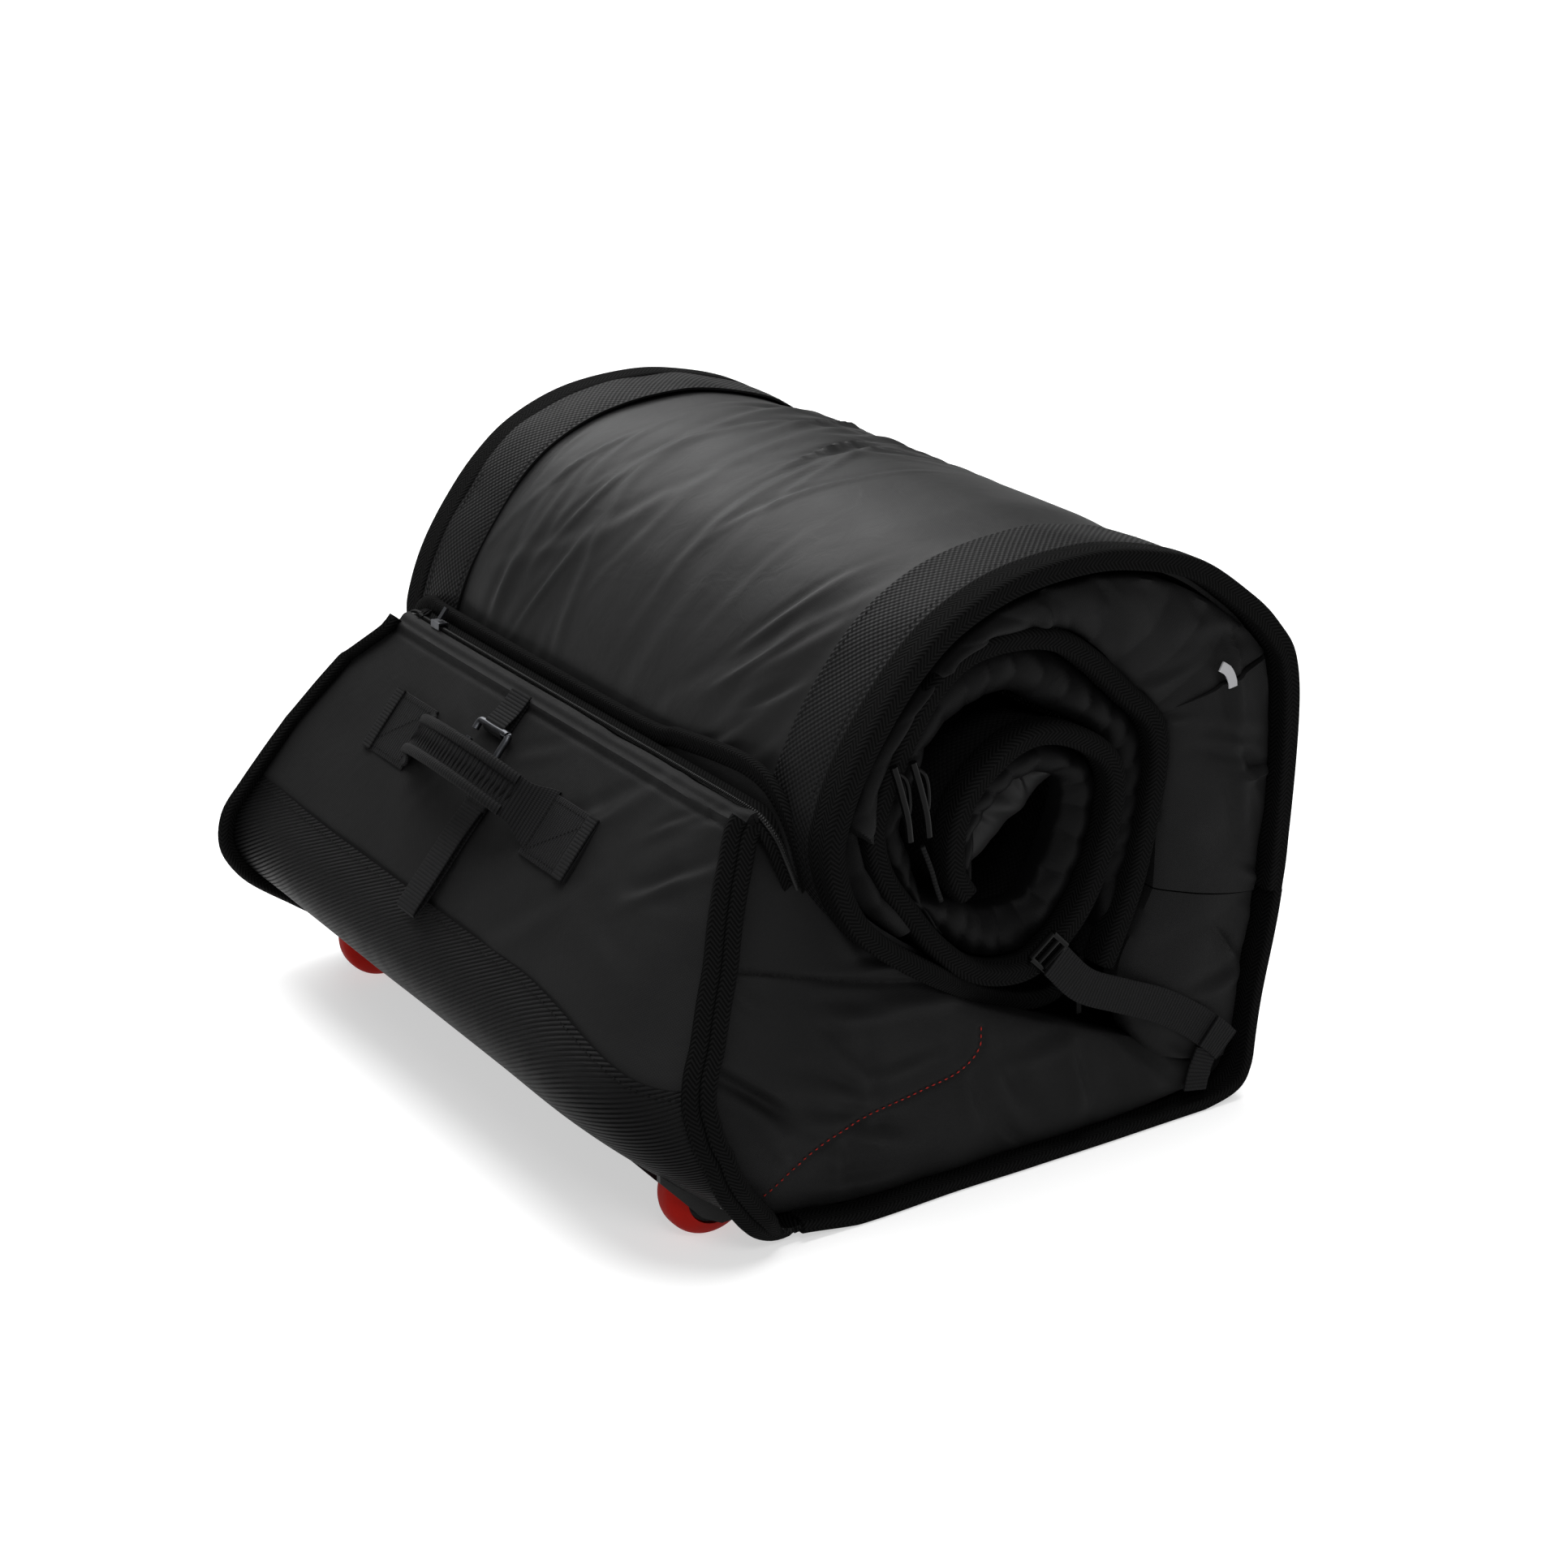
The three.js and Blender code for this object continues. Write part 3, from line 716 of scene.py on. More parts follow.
def roll_walls():
    """The padded side walls, from the lower fold to the core of the roll."""
    face = WALL_FACE - 9
    lower = gusset("wall_lower", WALL_LOWER, face, 14, 11, (3.0, 42, 1.2), bend_a, relief=pad_relief)
    gusset("wall_upper", WALL_UPPER, face, 14, 11, (2.2, 60, 1.5), bend_b, seed=60, relief=pad_relief)
    top = gusset("wall_top", WALL_TOP, face + 2, 14, 8, (8.0, 31, 0.5), bend_b, seed=70,
                 relief=pad_relief)
    gusset("wall_second", WALL_SECOND, 254, 12, 8, (8.0, 22, 0.9), on("roll"), "lining", seed=80)
    gusset("wall_core", WALL_CORE, 254, 12, 9, (8.0, 20, 0.8), on("roll"), "lining", seed=90)
    pads = gusset("core_tongue", TONGUE, 232, 30, 16, (2.5, 24, 0.5), on("roll"), "nylon", seed=95,
                  relief=pad_relief)
    for i, (side, _) in enumerate(SIDES):
        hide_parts(f"back_gusset_{side}")
        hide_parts(f"roll_gusset_{side}")
    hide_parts("core_pad")


def linings():
    """Lining layers that are seen between the turns of the roll."""
    inner = [(298, 302), (302, 268), (296, 220), (285, 177), (264, 131), (262, 84)]
    roll = [(298, 311), (270, 332), (242, 350), (197, 369), (152, 370), (120, 352), (97, 325), (82, 296),
            (77, 262), (80, 236), (89, 220)]
    lower = [(46, 220), (75, 189), (117, 152), (158, 119), (208, 96), (304, 53)]
    for line, thick, half, body in ((inner, 4, 248, "back"), (roll, -4, 250, "roll"),
                                    (lower, -4, 240, "tail")):
        route = even(curve(line), 5.0)
        normals = outward(route)
        s = distance_along(route)[:, None]
        ys = np.linspace(-half, half, 70)[None, :]
        height = 1.6 * noise(s, ys, 40, 41)
        height += random_folds(s, ys, 42, 24, (0, -half), (400, half), (50, 130), 40, 6, 2)
        front = offset_grid(route, normals, height, ys)
        back = offset_grid(route, normals, thick + height, ys)
        piece = shell(f"{body}_lining", front, back, "lining")
        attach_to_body(piece, body)
        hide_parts(f"{body}_lid")


# ---- the wheel end

SCUFF_LINE = [(22, 8), (0, 10), (-32, 31), (-66, 56), (-92, 80), (-104, 104), (-100, 128), (-84, 150)]
# The corners of the wheel end, near (-1) and far (1), at rising heights: half the width there, and how
# far the end surface turns back. The near wall leans from the floor up, the far one only near its top.
CORNER_HEIGHTS = (10, 31, 56, 80, 104, 128, 150, 189, 235, 262)
HALF_WIDTHS = {-1: (276, 279, 283, 283, 279, 274, 265, 250, 234, 223),
               1: (277, 278, 280, 281, 281, 281, 280, 279, 266, 238)}
CORNER_TURNS = {-1: (6, 16, 31, 48, 53, 49, 44, 30, 10, 4), 1: (2, 5, 3, -2, -5, -6, -5, -2, 1, 2)}
WALL_INSETS = {-1: 4, 1: 13}      # how far behind its corner each side wall starts
SEAM_RED = [(-15, 26), (2, 41), (28, 59), (68, 72), (112, 79), (142, 85), (158, 96), (162, 108)]
SEAM_DARK = [(-34, 187), (-18, 183), (54, 166), (126, 149), (136, 143)]
# Each half of the zip and of the lid's flap, from the middle of the bag down beside a side wall.
ZIP_FAR = [(22.5, 196, 273), (24, 224, 274), (27, 246, 268), (31, 260, 254), (36, 267, 236),
           (42, 270, 216)]
ZIP_NEAR = [(22.5, 100, 273), (22.5, 160, 273), (22.5, 202, 273), (26, 222, 269), (31, 234, 257),
            (36, 240, 240), (42, 242, 222)]
FLAP_FAR = [(34, 192, 280), (36, 226, 281), (37, 250, 272), (38, 262, 254), (42, 267, 234),
            (49, 268, 212)]
FLAP_NEAR = [(34, 60, 280), (36, 110, 285), (37, 156, 290), (37, 192, 292), (37, 218, 286),
             (38, 236, 268), (41, 242, 246), (47, 243, 224)]
FLAP_DEPTH = 26
# The slope's own axes: towards the near side, up the slope, out of the panel.
ACROSS = np.array([0.0, -1.0, 0.0])
UP = np.array([math.cos(SLOPE), 0.0, math.sin(SLOPE)])
OUT = np.array([-math.sin(SLOPE), 0.0, math.cos(SLOPE)])


def slope_line(low, high, count=20):
    b = np.linspace(low, high, count)
    return np.column_stack([SEAM_FOOT[0] + b * math.cos(SLOPE), SEAM_FOOT[1] + b * math.sin(SLOPE)])


def corner_turn(z, sign):
    return np.interp(z, CORNER_HEIGHTS, CORNER_TURNS[sign])


def end_profile():
    """The end of the bag, from the floor over the scuff band to the top of the slope."""
    brow = curve([(11.5, 266), (15, 270.5), (20, 271.5)], 6)
    return even(np.vstack([curve(SCUFF_LINE), slope_line(6, SLOPE_LENGTH - 4, 60), brow]), 1.5)


END_LINE = end_profile()
END_PLACE = distance_along(END_LINE)
END_OUT = -outward(END_LINE)
SEAM_PLACE = END_PLACE[np.linalg.norm(END_LINE - SEAM_FOOT, axis=1).argmin()]
END_SPREAD = math.pi / 2 * 0.86      # points across the end are spread as a sine of up to this angle


def on_end_line(place, table):
    return [np.interp(place, END_PLACE, column) for column in table.T]


def end_surface(place, v, lift=0.0):
    """Points of the end of the bag: place is the distance up its profile, v is -1 near to 1 far."""
    x, z = on_end_line(place, END_LINE)
    out_x, out_z = on_end_line(place, END_OUT)
    x, z = x + out_x * lift, z + out_z * lift
    x = x + np.where(v < 0, corner_turn(z, -1), corner_turn(z, 1)) * np.abs(v) ** 5
    half = np.where(v < 0, half_width(z, -1), half_width(z, 1))
    y = half * np.sin(v * END_SPREAD) / math.sin(END_SPREAD)
    return np.stack(np.broadcast_arrays(x, y, z), axis=-1)


def seam_place(v):
    """The seam over the scuff band dips towards the near corner."""
    return SEAM_PLACE - 30 * smoothstep(-v, 0.3, 1.0) + 5 * smoothstep(v, 0.4, 1.0)


def scuff_band():
    """The ribbed band round the lower end, cut out over both wheels."""
    v = np.linspace(-0.985, 0.985, 230)[None, :]
    place = seam_place(v) * np.linspace(0, 1, 90)[:, None]
    flat = end_surface(place, v)
    wave = 1.4 * noise(flat[..., 1], place, 90, 101)
    front = end_surface(place, v, wave)
    back = end_surface(place, v, -4 + wave)
    cells = flat[:-1, :-1]
    well = np.abs(np.abs(cells[..., 1]) - WHEEL_Y) < WELL_HALF
    well &= (cells[..., 0] > -60) & (cells[..., 2] < 62)
    piece = shell("scuff_ribs", front, back, "band", keep=~well)
    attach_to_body(piece, "tail")
    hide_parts("scuff_band")


def slope_panel():
    """The sloping panel over the seam, with the stitches along the seam."""
    v = np.linspace(-1, 1, 200)[None, :]
    seam = seam_place(v)
    place = seam + (END_PLACE[-1] - seam) * np.linspace(0, 1, 105)[:, None]
    y = end_surface(place, v)[..., 1]
    b = place - SEAM_PLACE
    puff = 2.4 * np.sin(math.pi * np.clip(b / SLOPE_LENGTH, 0, 1)) * (1 - np.abs(v) ** 6)
    folds = random_folds(y, b, 111, 9, (-215, 80), (-90, 150), (-60, -25), 40, 6, 1.8)
    folds += random_folds(y, b, 112, 14, (-200, 10), (200, 140), (-70, 70), 50, 8, 0.9)
    piping = 1.8 * np.exp(-((b - SLOPE_LENGTH + 5) / 2.2) ** 2)
    piping -= 1.2 * np.exp(-((b - SLOPE_LENGTH + 10) / 2) ** 2)
    sewn_edge = np.exp(-((place - seam) / 2.5) ** 2)
    lift = puff + folds + piping + 1.2 * noise(y, b, 55, 113) - sewn_edge
    piece = shell("slope_panel", end_surface(place, v, lift), end_surface(place, v, -7), "wall")
    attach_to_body(piece, "tail")
    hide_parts("end_panel")
    across = np.linspace(-0.97, 0.97, 200)[None, :]
    stitches = end_surface(seam_place(across) - 5, across, 1.4)[0]
    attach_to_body(dashes("seam_stitch", stitches, OUT, "thread", 2.6, 4.2), "tail")


def end_bindings():
    """Two strips of twill side by side round each corner of the wheel end."""
    place = np.arange(0, SEAM_PLACE + SLOPE_LENGTH - 2, ROUTE_STEP)
    normals = np.column_stack(on_end_line(place, END_OUT))
    open_out = smoothstep(place, 4, 55)[:, None]
    drift = 0.8 * noise(place, 0.0, 30, 121)[:, None]
    section = bar_section(11, 9, 0.6)[None] * (0.6 + 0.4 * open_out)[:, :, None]
    for side, sign in SIDES:
        edge = end_surface(place, np.float64(sign))
        out = in_plane(0.45 * normals, sign * 0.9)
        across = unit(np.cross(directions(edge), out))
        across *= np.sign(across[:, :1])
        for label, shift in (("front", -4.5), ("rear", 6.0)):
            route = edge + across * (shift * open_out + drift)
            route[:, 1] += sign * (7 * open_out[:, 0] - 6.5)
            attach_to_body(sweep(f"end_binding_{label}_{side}", route, across, out, section, "twill"), "tail")


def tail_wall_relief(x, z):
    """A few large folds, many small ones, and two sewn lines."""
    total = random_folds(x, z, 131, 34, (-30, 20), (340, 170), (-80, 10), 32, 6, 4.5)
    large = [((-16, 112), -42, 46, 6, -9.0), ((6, 84), -44, 44, 7, 8.0), ((8, 66), -50, 26, 6, 6.0),
             ((70, 60), -30, 36, 7, 6.0), ((60, 200), -70, 24, 6, 5.0), ((178, 60), -60, 30, 8, 5.5)]
    for centre, angle, length, width, height in large:
        total += fold(x, z, centre, angle, length, width, height)
    held_flat = 1 + groove(x, z, SEAM_RED, 9.0, 0.9)
    seams = groove(x, z, SEAM_DARK, 2.4, 4.0) + groove(x, z, SEAM_RED, 2.4, 1.6)
    return total * held_flat + seams + 1.8 * noise(x, z, 45, 132)


def corner_point(z, sign):
    """Where a side wall starts behind a corner of the end surface, in x and z."""
    line = np.vstack([SCUFF_LINE[1:-1], slope_line(0, SLOPE_LENGTH)])
    return np.interp(z, line[:, 1], line[:, 0]) + corner_turn(z, sign) + WALL_INSETS[sign], z


def tail_walls():
    """The side walls of the wheel end, with their red stitching."""
    low_and_high = ((138, 142), (96, 176), (58, 206), (34, 240))
    along = [(8, 18, 17, 265), (40, 12, 50, 230), (72, 9, 79, 197), (112, 8, 118, 155),
             (155, 8, 160, 124), (206, 8, 210, 100), (256, 8, 258, 79), (300, 9, 306, 58),
             (350, 14, 356, 36)]
    for side, sign in SIDES:
        corner = [corner_point(low, sign) + corner_point(high, sign) for low, high in low_and_high]
        wall = gusset("tail_wall", corner + along, WALL_FACE - 10, 16, 12, (0.8, 60, 0.3), on("tail"),
                      seed=130, count=120, relief=tail_wall_relief, sides=[(side, sign)])[0]
        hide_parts(f"tail_gusset_{side}")
        red = laid_on(f"tail_wall_{side}", curve(SEAM_RED), 0.8)
        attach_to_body(dashes(f"red_stitch_{side}", red, (0, sign, 0), "red_thread", 3.4, 4.8, 1.1, 0.7), "tail")


def across_route(near_turn, far_turn):
    """A route across the bag that turns down beside the side walls at both ends."""
    near = [(x, -y, z) for x, y, z in near_turn]
    return even(curve(near[::-1] + far_turn, 14), 2.0)


def zip_fastener():
    """Tape, core and teeth of the zip. It stands up on the slope and turns out beside the walls."""
    route = across_route(ZIP_NEAR, ZIP_FAR)
    ahead = directions(route)
    y = route[:, 1]
    out = in_plane(np.zeros((len(route), 2)), 0.9 * y / 250 * smoothstep(np.abs(y), 190, 250))
    out += (-0.35, 0, 0.94)
    out = unit(out - ahead * (out * ahead).sum(axis=1)[:, None])
    across = np.cross(ahead, out)
    tape = sweep("zip_tapes", route - out * 3.4, across, out, bar_section(17, 1.6, 0.4, 12), "twill")
    core = sweep("zip_core", route - out * 1.6, across, out, bar_section(4, 2, 0.8, 10), "plastic")
    teeth = dashes("zip_teeth", route - out * 0.4, out[len(out) // 2], "plastic", 5.0, 1.9, 1.3, 1.3,
                   turned=True)
    for piece in (tape, core, teeth):
        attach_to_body(piece, "tail")
    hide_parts("zip_tape")
    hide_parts("zip_coil")


def lid_flap():
    """The bound edge flap of the lid, which stands behind the zip."""
    top = across_route(FLAP_NEAR, FLAP_FAR)
    s = distance_along(top)[:, None]
    v = np.linspace(0, 1, 14)[None, :]
    y = top[:, 1:2]
    x = top[:, :1] - 3 * v + 1.2 * noise(s, FLAP_DEPTH * v, 35, 141)
    y = y - np.sign(y) * 6 * v * smoothstep(np.abs(y), 190, 240)
    front = np.stack(np.broadcast_arrays(x, y, top[:, 2:] - FLAP_DEPTH * v), axis=-1)
    flap = shell("lid_flap", front, front + (3.2, 0, 0.6), "wall")
    section = bar_section(7, 13, 0.6, 16)
    edge = sweep("lid_flap_binding", top + (0.8, 0, -4), (1, 0, 0.1), (0, 0, 1), section, "twill")
    for piece in (flap, edge):
        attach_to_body(piece, "tail")
    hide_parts("lid_edge_flap")


# ---- webbing and fittings on the slope

STRAP_SQUARE = 0.35       # how square a strap's edges are: 1 is round, less is squarer
HOOK_A = -47              # the hook strap's place across the slope
HOOK_LIFT = 6.6           # how far the hook's bar stands off the slope


def on_slope(points):
    """Points given in the slope's own axes."""
    a, b, c = np.asarray(points, float).T
    foot = np.array([SEAM_FOOT[0], 0.0, SEAM_FOOT[1]])
    return foot + np.outer(a, ACROSS) + np.outer(b, UP) + np.outer(c, OUT)


def strap(name, points, across, width, thick):
    """A flat strap along a route in the slope's axes."""
    route = even(on_slope(curve(points, 10)), 2.5)
    up = np.cross(directions(route), across)
    return sweep(name, route, across, up, bar_section(width, thick, STRAP_SQUARE), "webbing")


def rod(name, route, diameter, look):
    """A round rod along a route in profile millimetres."""
    route = even(route, max(diameter / 2.5, 0.8))
    ahead = directions(route)
    side = unit(np.cross(ahead, (0.31, 0.83, 0.46)))
    section = bar_section(diameter, diameter, 1.0, 14)
    return sweep(name, route, side, np.cross(ahead, side), section, look)


def stitch_box(name, low, high, c):
    """A sewn box with a cross in it, on the slope."""
    (a0, b0), (a1, b1) = low, high
    corners = [(a0, b0), (a1, b0), (a1, b1), (a0, b1), (a0, b0), (a1, b1)]
    route = np.vstack([np.linspace(p, q, 12) for p, q in zip(corners, corners[1:])])
    places = on_slope(np.column_stack([route, np.full(len(route), c)]))
    return dashes(name, places, OUT, "thread", 2.4, 3.4, 0.8)


def handle_arch():
    """The line of the handle's webbing, and its unit directions away from the bag."""
    route = curve([(-126, 2.6), (-116, 7), (-100, 22), (-74, 34), (-37, 39), (0, 35), (26, 24), (42, 8),
                   (52, 2.6)])
    a, c = route.T
    arch = even(on_slope(np.column_stack([a, HANDLE_B + 0.12 * c, c])), 1.8)
    return arch, np.cross(directions(arch), UP)


def handle_webbing(arch, out):
    """The webbing in two halves."""
    share = np.linspace(0, 1, len(arch))
    width = 30 + 14 * (1 - smoothstep(share, 0, 0.12)) + 14 * smoothstep(share, 0.88, 1)
    sizes = np.column_stack([width, np.ones_like(width)])
    section = bar_section(1, 3.2, STRAP_SQUARE)[None] * sizes[:, None, :]
    middle = len(arch) // 2
    for side, part, end, root in (("far", slice(0, middle + 1), 0, 126),
                                  ("near", slice(middle, None), -1, -52)):
        half = sweep(f"handle_webbing_{side}", arch[part], UP, out[part], section[part], "webbing")
        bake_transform(half)
        if side == "far":
            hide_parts("handle_strap")


def handle():
    """The carry handle: webbing with its edges rolled over the grip, and ribs across the grip."""
    arch, out = handle_arch()
    handle_webbing(arch, out)
    grip = slice(len(arch) // 7, -len(arch) // 7)
    arch, out = arch[grip], out[grip]
    for label, place in (("upper", 11.5), ("lower", -11.5)):
        rolled = arch + UP * place + out * 1.2
        roll = sweep(f"handle_roll_{label}", rolled, UP, out, bar_section(7.5, 6, 0.8, 16), "webbing")
        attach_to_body(roll, "handle")
    rungs = dashes("handle_rungs", arch + out * 1.7, out[len(out) // 2], "webbing", 17, 4.6, 2.6, 0.9,
                   turned=True)
    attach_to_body(rungs, "handle")


def handle_patches():
    """The sewn patch under each end of the handle, with the hem folded over its outer edge."""
    for side, (a0, b0), (a1, b1) in (("far", (-180, 62), (-122, 112)), ("near", (48, 60), (107, 108))):
        middle = (b0 + b1) / 2
        ends = [(a0, middle, 2.8), ((a0 + a1) / 2, middle, 3.4), (a1, middle, 2.8)]
        patch = strap(f"patch_{side}", ends, UP, b1 - b0 - 2, 2.6)
        box = stitch_box(f"patch_stitch_{side}", (a0 + 5, b0 + 5), (a1 - 6, b1 - 5), 5.0)
        end = a1 - 6 if side == "near" else a0 + 6
        over = [(end, b0 + 1, 5), (end, middle, 5.4), (end, b1 - 1, 5)]
        for piece in (patch, box, strap(f"patch_hem_{side}", over, ACROSS, 11, 2)):
            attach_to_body(piece, "tail")
        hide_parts(f"handle_patch_{side}")


def hook_and_tab():
    """The short strap with its metal hook, and the pull tab under the handle."""
    upper = [(HOOK_A, b, c) for b, c in ((152, 3), (138, 4.4), (126, 7.6), (120.5, 8), (118, 5),
                                         (122, 2.6), (132, 1.8), (148, 1.6))]
    short_strap = strap("hook_webbing", upper, ACROSS, 25, 1.7)
    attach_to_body(short_strap, "hook_strap")
    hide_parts("hook_strap")
    bend = [(-66.5, 108), (-66.6, 101), (-63, 99.8), (-46, 99.8), (-30, 99.8), (-27.2, 102),
            (-27.2, 111), (-27.2, 120), (-30, 122), (-46, 122), (-63, 122), (-66.6, 120.5),
            (-66.5, 114.5)]
    bar = curve([(a, b, HOOK_LIFT) for a, b in bend], 8)
    hook = rod("g_hook_bar", on_slope(bar), 5.2, "gunmetal")
    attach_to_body(hook, "hook")
    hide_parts("g_hook")
    loop = [(-20, 72, 5.4), (-20, 50, 7.4), (-19, 20, 8.4), (-20, -4, 8), (-21, -13, 6.4), (-20, -4, 4.6),
            (-20, 20, 4.0), (-20, 50, 3.8), (-20, 71, 3.2)]
    tab = strap("tab_webbing", loop, ACROSS, 24, 1.7)
    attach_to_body(tab, "tab")
    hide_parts("tab_loop")
    anchor = strap("tab_anchor", [(-20, 70, 4.4), (-20, 78, 4.8), (-20, 85, 2.6)], ACROSS, 26, 3.6)
    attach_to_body(anchor, "tail")
    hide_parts("tab_loop_anchor")
    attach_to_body(stitch_box("tab_stitch", (-31, 73), (-9, 82), 7.2), "tail")


# ---- fittings of the roll

def side_strap(name, line, y, width, thick, body, look="webbing"):
    """A strap that lies against the near side wall."""
    route = even(in_plane(curve(line, 10), y), 3.0)
    out = (0, -1, 0)
    section = bar_section(width, thick, STRAP_SQUARE)
    piece = sweep(name, route, np.cross(directions(route), out), out, section, look)
    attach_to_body(piece, body)
    return piece


def compression_strap():
    """The strap over the roll, with its turned hem."""
    line = [(214, 146), (238, 122), (270, 106), (304, 90), (336, 69), (361, 47)]
    band = side_strap("compression_webbing", line, -277.5, 24, 2.0, "roll")
    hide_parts("compression_strap")
    side_strap("compression_hem", [(346, 61), (354, 54), (362, 46)], -279.4, 24, 1.6, "roll")


def buckle():
    """A ladder buckle of three bars between two sides, on the end of the compression strap."""
    corner = np.array((197, -274, 150))
    along, across = np.array((15, -3, 15)), np.array((11, 0, -11))
    for i in range(3):
        start = corner + np.array((5.25, 0, -5.25)) * i
        bar = rod(f"buckle_bar_{i + 1}", np.linspace(start, start + along, 8), 4.2, "gloss")
        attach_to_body(bar, "roll")
        if i == 0:
            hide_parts("ladder_buckle")
    for i in range(2):
        start = corner + along * i
        side = rod(f"buckle_side_{i + 1}", np.linspace(start, start + across, 8), 4.6, "gloss")
        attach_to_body(side, "roll")


def snap_hooks():
    """Two gloss hooks side by side, each with its gate, and the cord that holds them."""
    for i in range(2):
        x = 89 + 14 * i
        spine = [(x, -273, 303), (x + 5, -274, 286), (x + 10, -274, 268), (x + 13, -273, 252)]
        gate = [(x + 1, -271, 300), (x + 10, -272, 292), (x + 13, -272, 276), (x + 11, -272, 262)]
        hook = rod(f"snap_hook_{i + 1}", curve(spine, 8), 5.0, "gloss")
        for piece in (hook, rod(f"snap_gate_{i + 1}", curve(gate, 8), 3.2, "gloss")):
            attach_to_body(piece, "roll")
        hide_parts(f"inner_hook_{i + 1}")
    line = [(112, -272, 246), (118, -273, 230), (122, -273, 218), (127, -272, 206)]
    cord = rod("hook_lanyard", curve(line, 8), 3.2, "webbing")
    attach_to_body(cord, "roll")
    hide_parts("hook_cord")


def small_tabs():
    """The tab at the fold and the bright pull tag."""
    side_strap("fold_tab", [(338, 18), (341, 32), (347, 46)], -277.5, 20, 1.8, "tail")
    ribbon = [(340, 320), (346, 316), (350, 309), (351, 304)]
    tag = side_strap("tag_ribbon", ribbon, -278.4, 7, 1.2, "tag", "ribbon")
    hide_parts("pull_tag")


# ---- wheels

TYRE_RADIUS = 32
TYRE_HALF = 14


def wheel_centre(side):
    """The middle of a wheel in profile millimetres, from its CAD tyre."""
    low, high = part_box(f"wheel_tyre_{side}")
    return (np.array(low) + np.array(high)) * 500 + (CENTRE_X, 0, 0)


def turned(name, profile, centre, look):
    """A ring about a wheel's axle, from a closed profile of (radius, distance along the axle)."""
    radius, along = np.array(profile, float).T
    angle = np.linspace(0, 2 * math.pi, 96, endpoint=False)[:, None]
    x = centre[0] + radius * np.cos(angle)
    z = centre[2] + radius * np.sin(angle)
    points = np.stack([x, np.broadcast_to(centre[1] + along, x.shape), z], axis=-1)
    n, m, _ = points.shape
    faces, uvs = quads(n, m, n, 2 * np.arange(n + 1), 2 * np.arange(m + 1))
    return make_object(name, points.reshape(-1, 3), faces, uvs, look, 35)


def wheel(side):
    """Tyre, hub rim, hub sleeve and six spokes."""
    centre = wheel_centre(side)
    half = np.linspace(-1, 1, 25)
    crown = np.column_stack([TYRE_RADIUS - 11 * np.abs(half) ** 3.2, TYRE_HALF * half]).tolist()
    outer = [(17.6, -11), (20.4, -11.6), (20.4, 11.6), (17.6, 11)]
    inner = [(11.2, -11.4), (13.6, -11), (13.6, 11), (11.2, 11.4)]
    tyre = turned(f"tyre_{side}", crown + [(20.6, 12), (20.6, -12)], centre, "urethane")
    rim = turned(f"hub_rim_{side}", outer, centre, "plastic")
    pieces = [tyre, rim, turned(f"hub_sleeve_{side}", inner, centre, "plastic")]
    section = bar_section(20, 4.4, 0.4, 16)
    for i in range(6):
        angle = i * math.pi / 3
        ray = np.array((math.cos(angle), 0, math.sin(angle)))
        tangent = np.array((-math.sin(angle), 0, math.cos(angle)))
        route = centre + np.outer((12.8, 14, 16, 18.2), ray)
        pieces.append(sweep(f"spoke_{side}_{i + 1}", route, (0, 1, 0), tangent, section, "plastic"))
    for piece in pieces:
        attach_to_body(piece, f"wheel_{side}")
    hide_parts(f"wheel_tyre_{side}")
    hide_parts(f"wheel_hub_{side}")


# ---- CAD nodes that stay

def finish_kept_nodes():
    """Steel, dark metal or moulded plastic for the CAD nodes that stay as they are."""
    for name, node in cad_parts.items():
        if node.hide_render:
            continue
        look = "plastic"
        if name.startswith(("bearing", "axle")):
            look = "steel"
        if name.startswith("zip"):
            look = "gunmetal"
        node.data.materials.clear()
        node.data.materials.append(LOOKS[look])


# ---- floor, light and camera

def place_facing(name, data, place, direction):
    """An object for a light or a camera, which looks in a direction."""
    obj = bpy.data.objects.new(name, data)
    obj.location = place
    obj.rotation_euler = Vector(direction).to_track_quat("-Z", "Y").to_euler()
    bpy.context.scene.collection.objects.link(obj)
    return obj


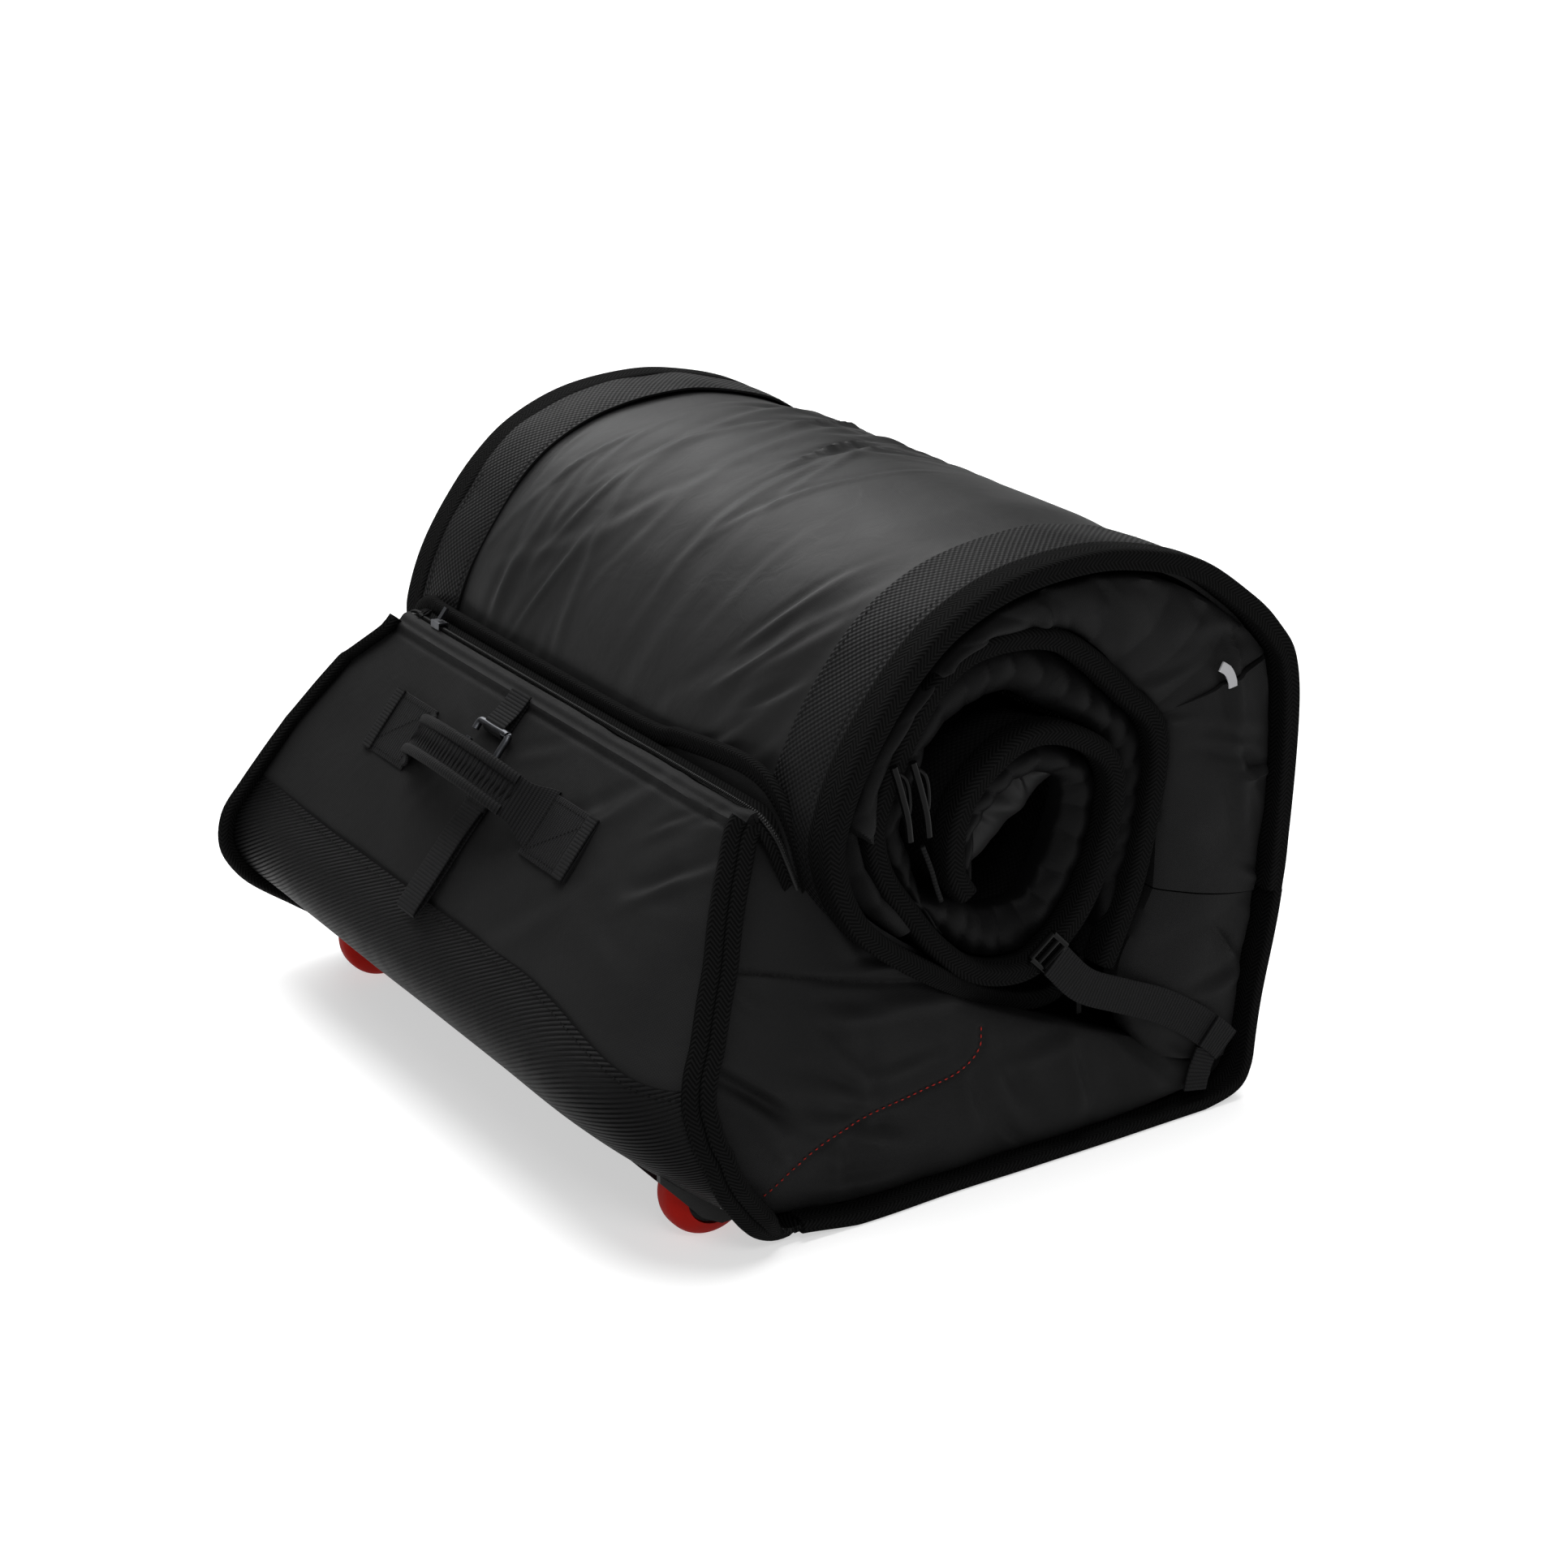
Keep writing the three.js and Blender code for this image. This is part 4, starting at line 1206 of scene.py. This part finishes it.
def area_light(name, place, size, power):
    """A round lamp that faces the middle of the bag."""
    data = bpy.data.lights.new(name, "AREA")
    data.shape = "DISK"
    data.size = size
    data.energy = power
    place_facing(name, data, place, Vector((0, 0, 0.2)) - Vector(place))


def pale_floor():
    """A wide white table that glows a little."""
    look = Look("pale_floor", (0.5, 0.5, 0.5), 0.8)
    set_inputs(look.shader, {"Emission Color": (1, 1, 1, 1), "Emission Strength": 0.55})
    look.vary(look.cloud(2, 2), 0.98, 1.02)
    mesh = bpy.data.meshes.new("floor")
    reach = 30.0
    corners = [(-reach, -reach, 0), (reach, -reach, 0), (reach, reach, 0), (-reach, reach, 0)]
    mesh.from_pydata(corners, [], [(0, 1, 2, 3)])
    mesh.materials.append(look.material)
    floor = bpy.data.objects.new("floor", mesh)
    bpy.context.scene.collection.objects.link(floor)


def lights():
    """White surroundings, a broad lamp behind, a smaller one in front, and soft light from above."""
    world = bpy.data.worlds.new("studio")
    world.use_nodes = True
    set_inputs(world.node_tree.nodes["Background"], {"Color": (1, 1, 1, 1), "Strength": 0.25})
    bpy.context.scene.world = world
    bpy.context.scene.view_settings.view_transform = "Standard"
    area_light("key", (0.3, 2.2, 2.1), 2.6, 60)
    area_light("side", (-1.0, -2.2, 2.3), 1.0, 22)
    sun = bpy.data.lights.new("overhead", "SUN")
    sun.energy = 3.6
    sun.angle = 0.7
    place_facing("overhead", sun, (0, 0, 0), (-0.04, -0.08, -1))


def camera():
    """The photo's view, worked out from the perspective of the roll."""
    data = bpy.data.cameras.new("camera")
    data.lens = 70.5
    data.sensor_width = 36
    view = place_facing("camera", data, (-1.058, -1.672, 0.971), (0.5091, 0.7780, -0.3681))
    bpy.context.scene.camera = view


camera()
pale_floor()
lights()
bottom_panel()
inner_turns()
roll_walls()
linings()
scuff_band()
slope_panel()
end_bindings()
tail_walls()
zip_fastener()
lid_flap()
handle()
handle_patches()
hook_and_tab()
compression_strap()
buckle()
snap_hooks()
small_tabs()
wheel("near")
wheel("far")
finish_kept_nodes()

bpy.context.view_layer.update()
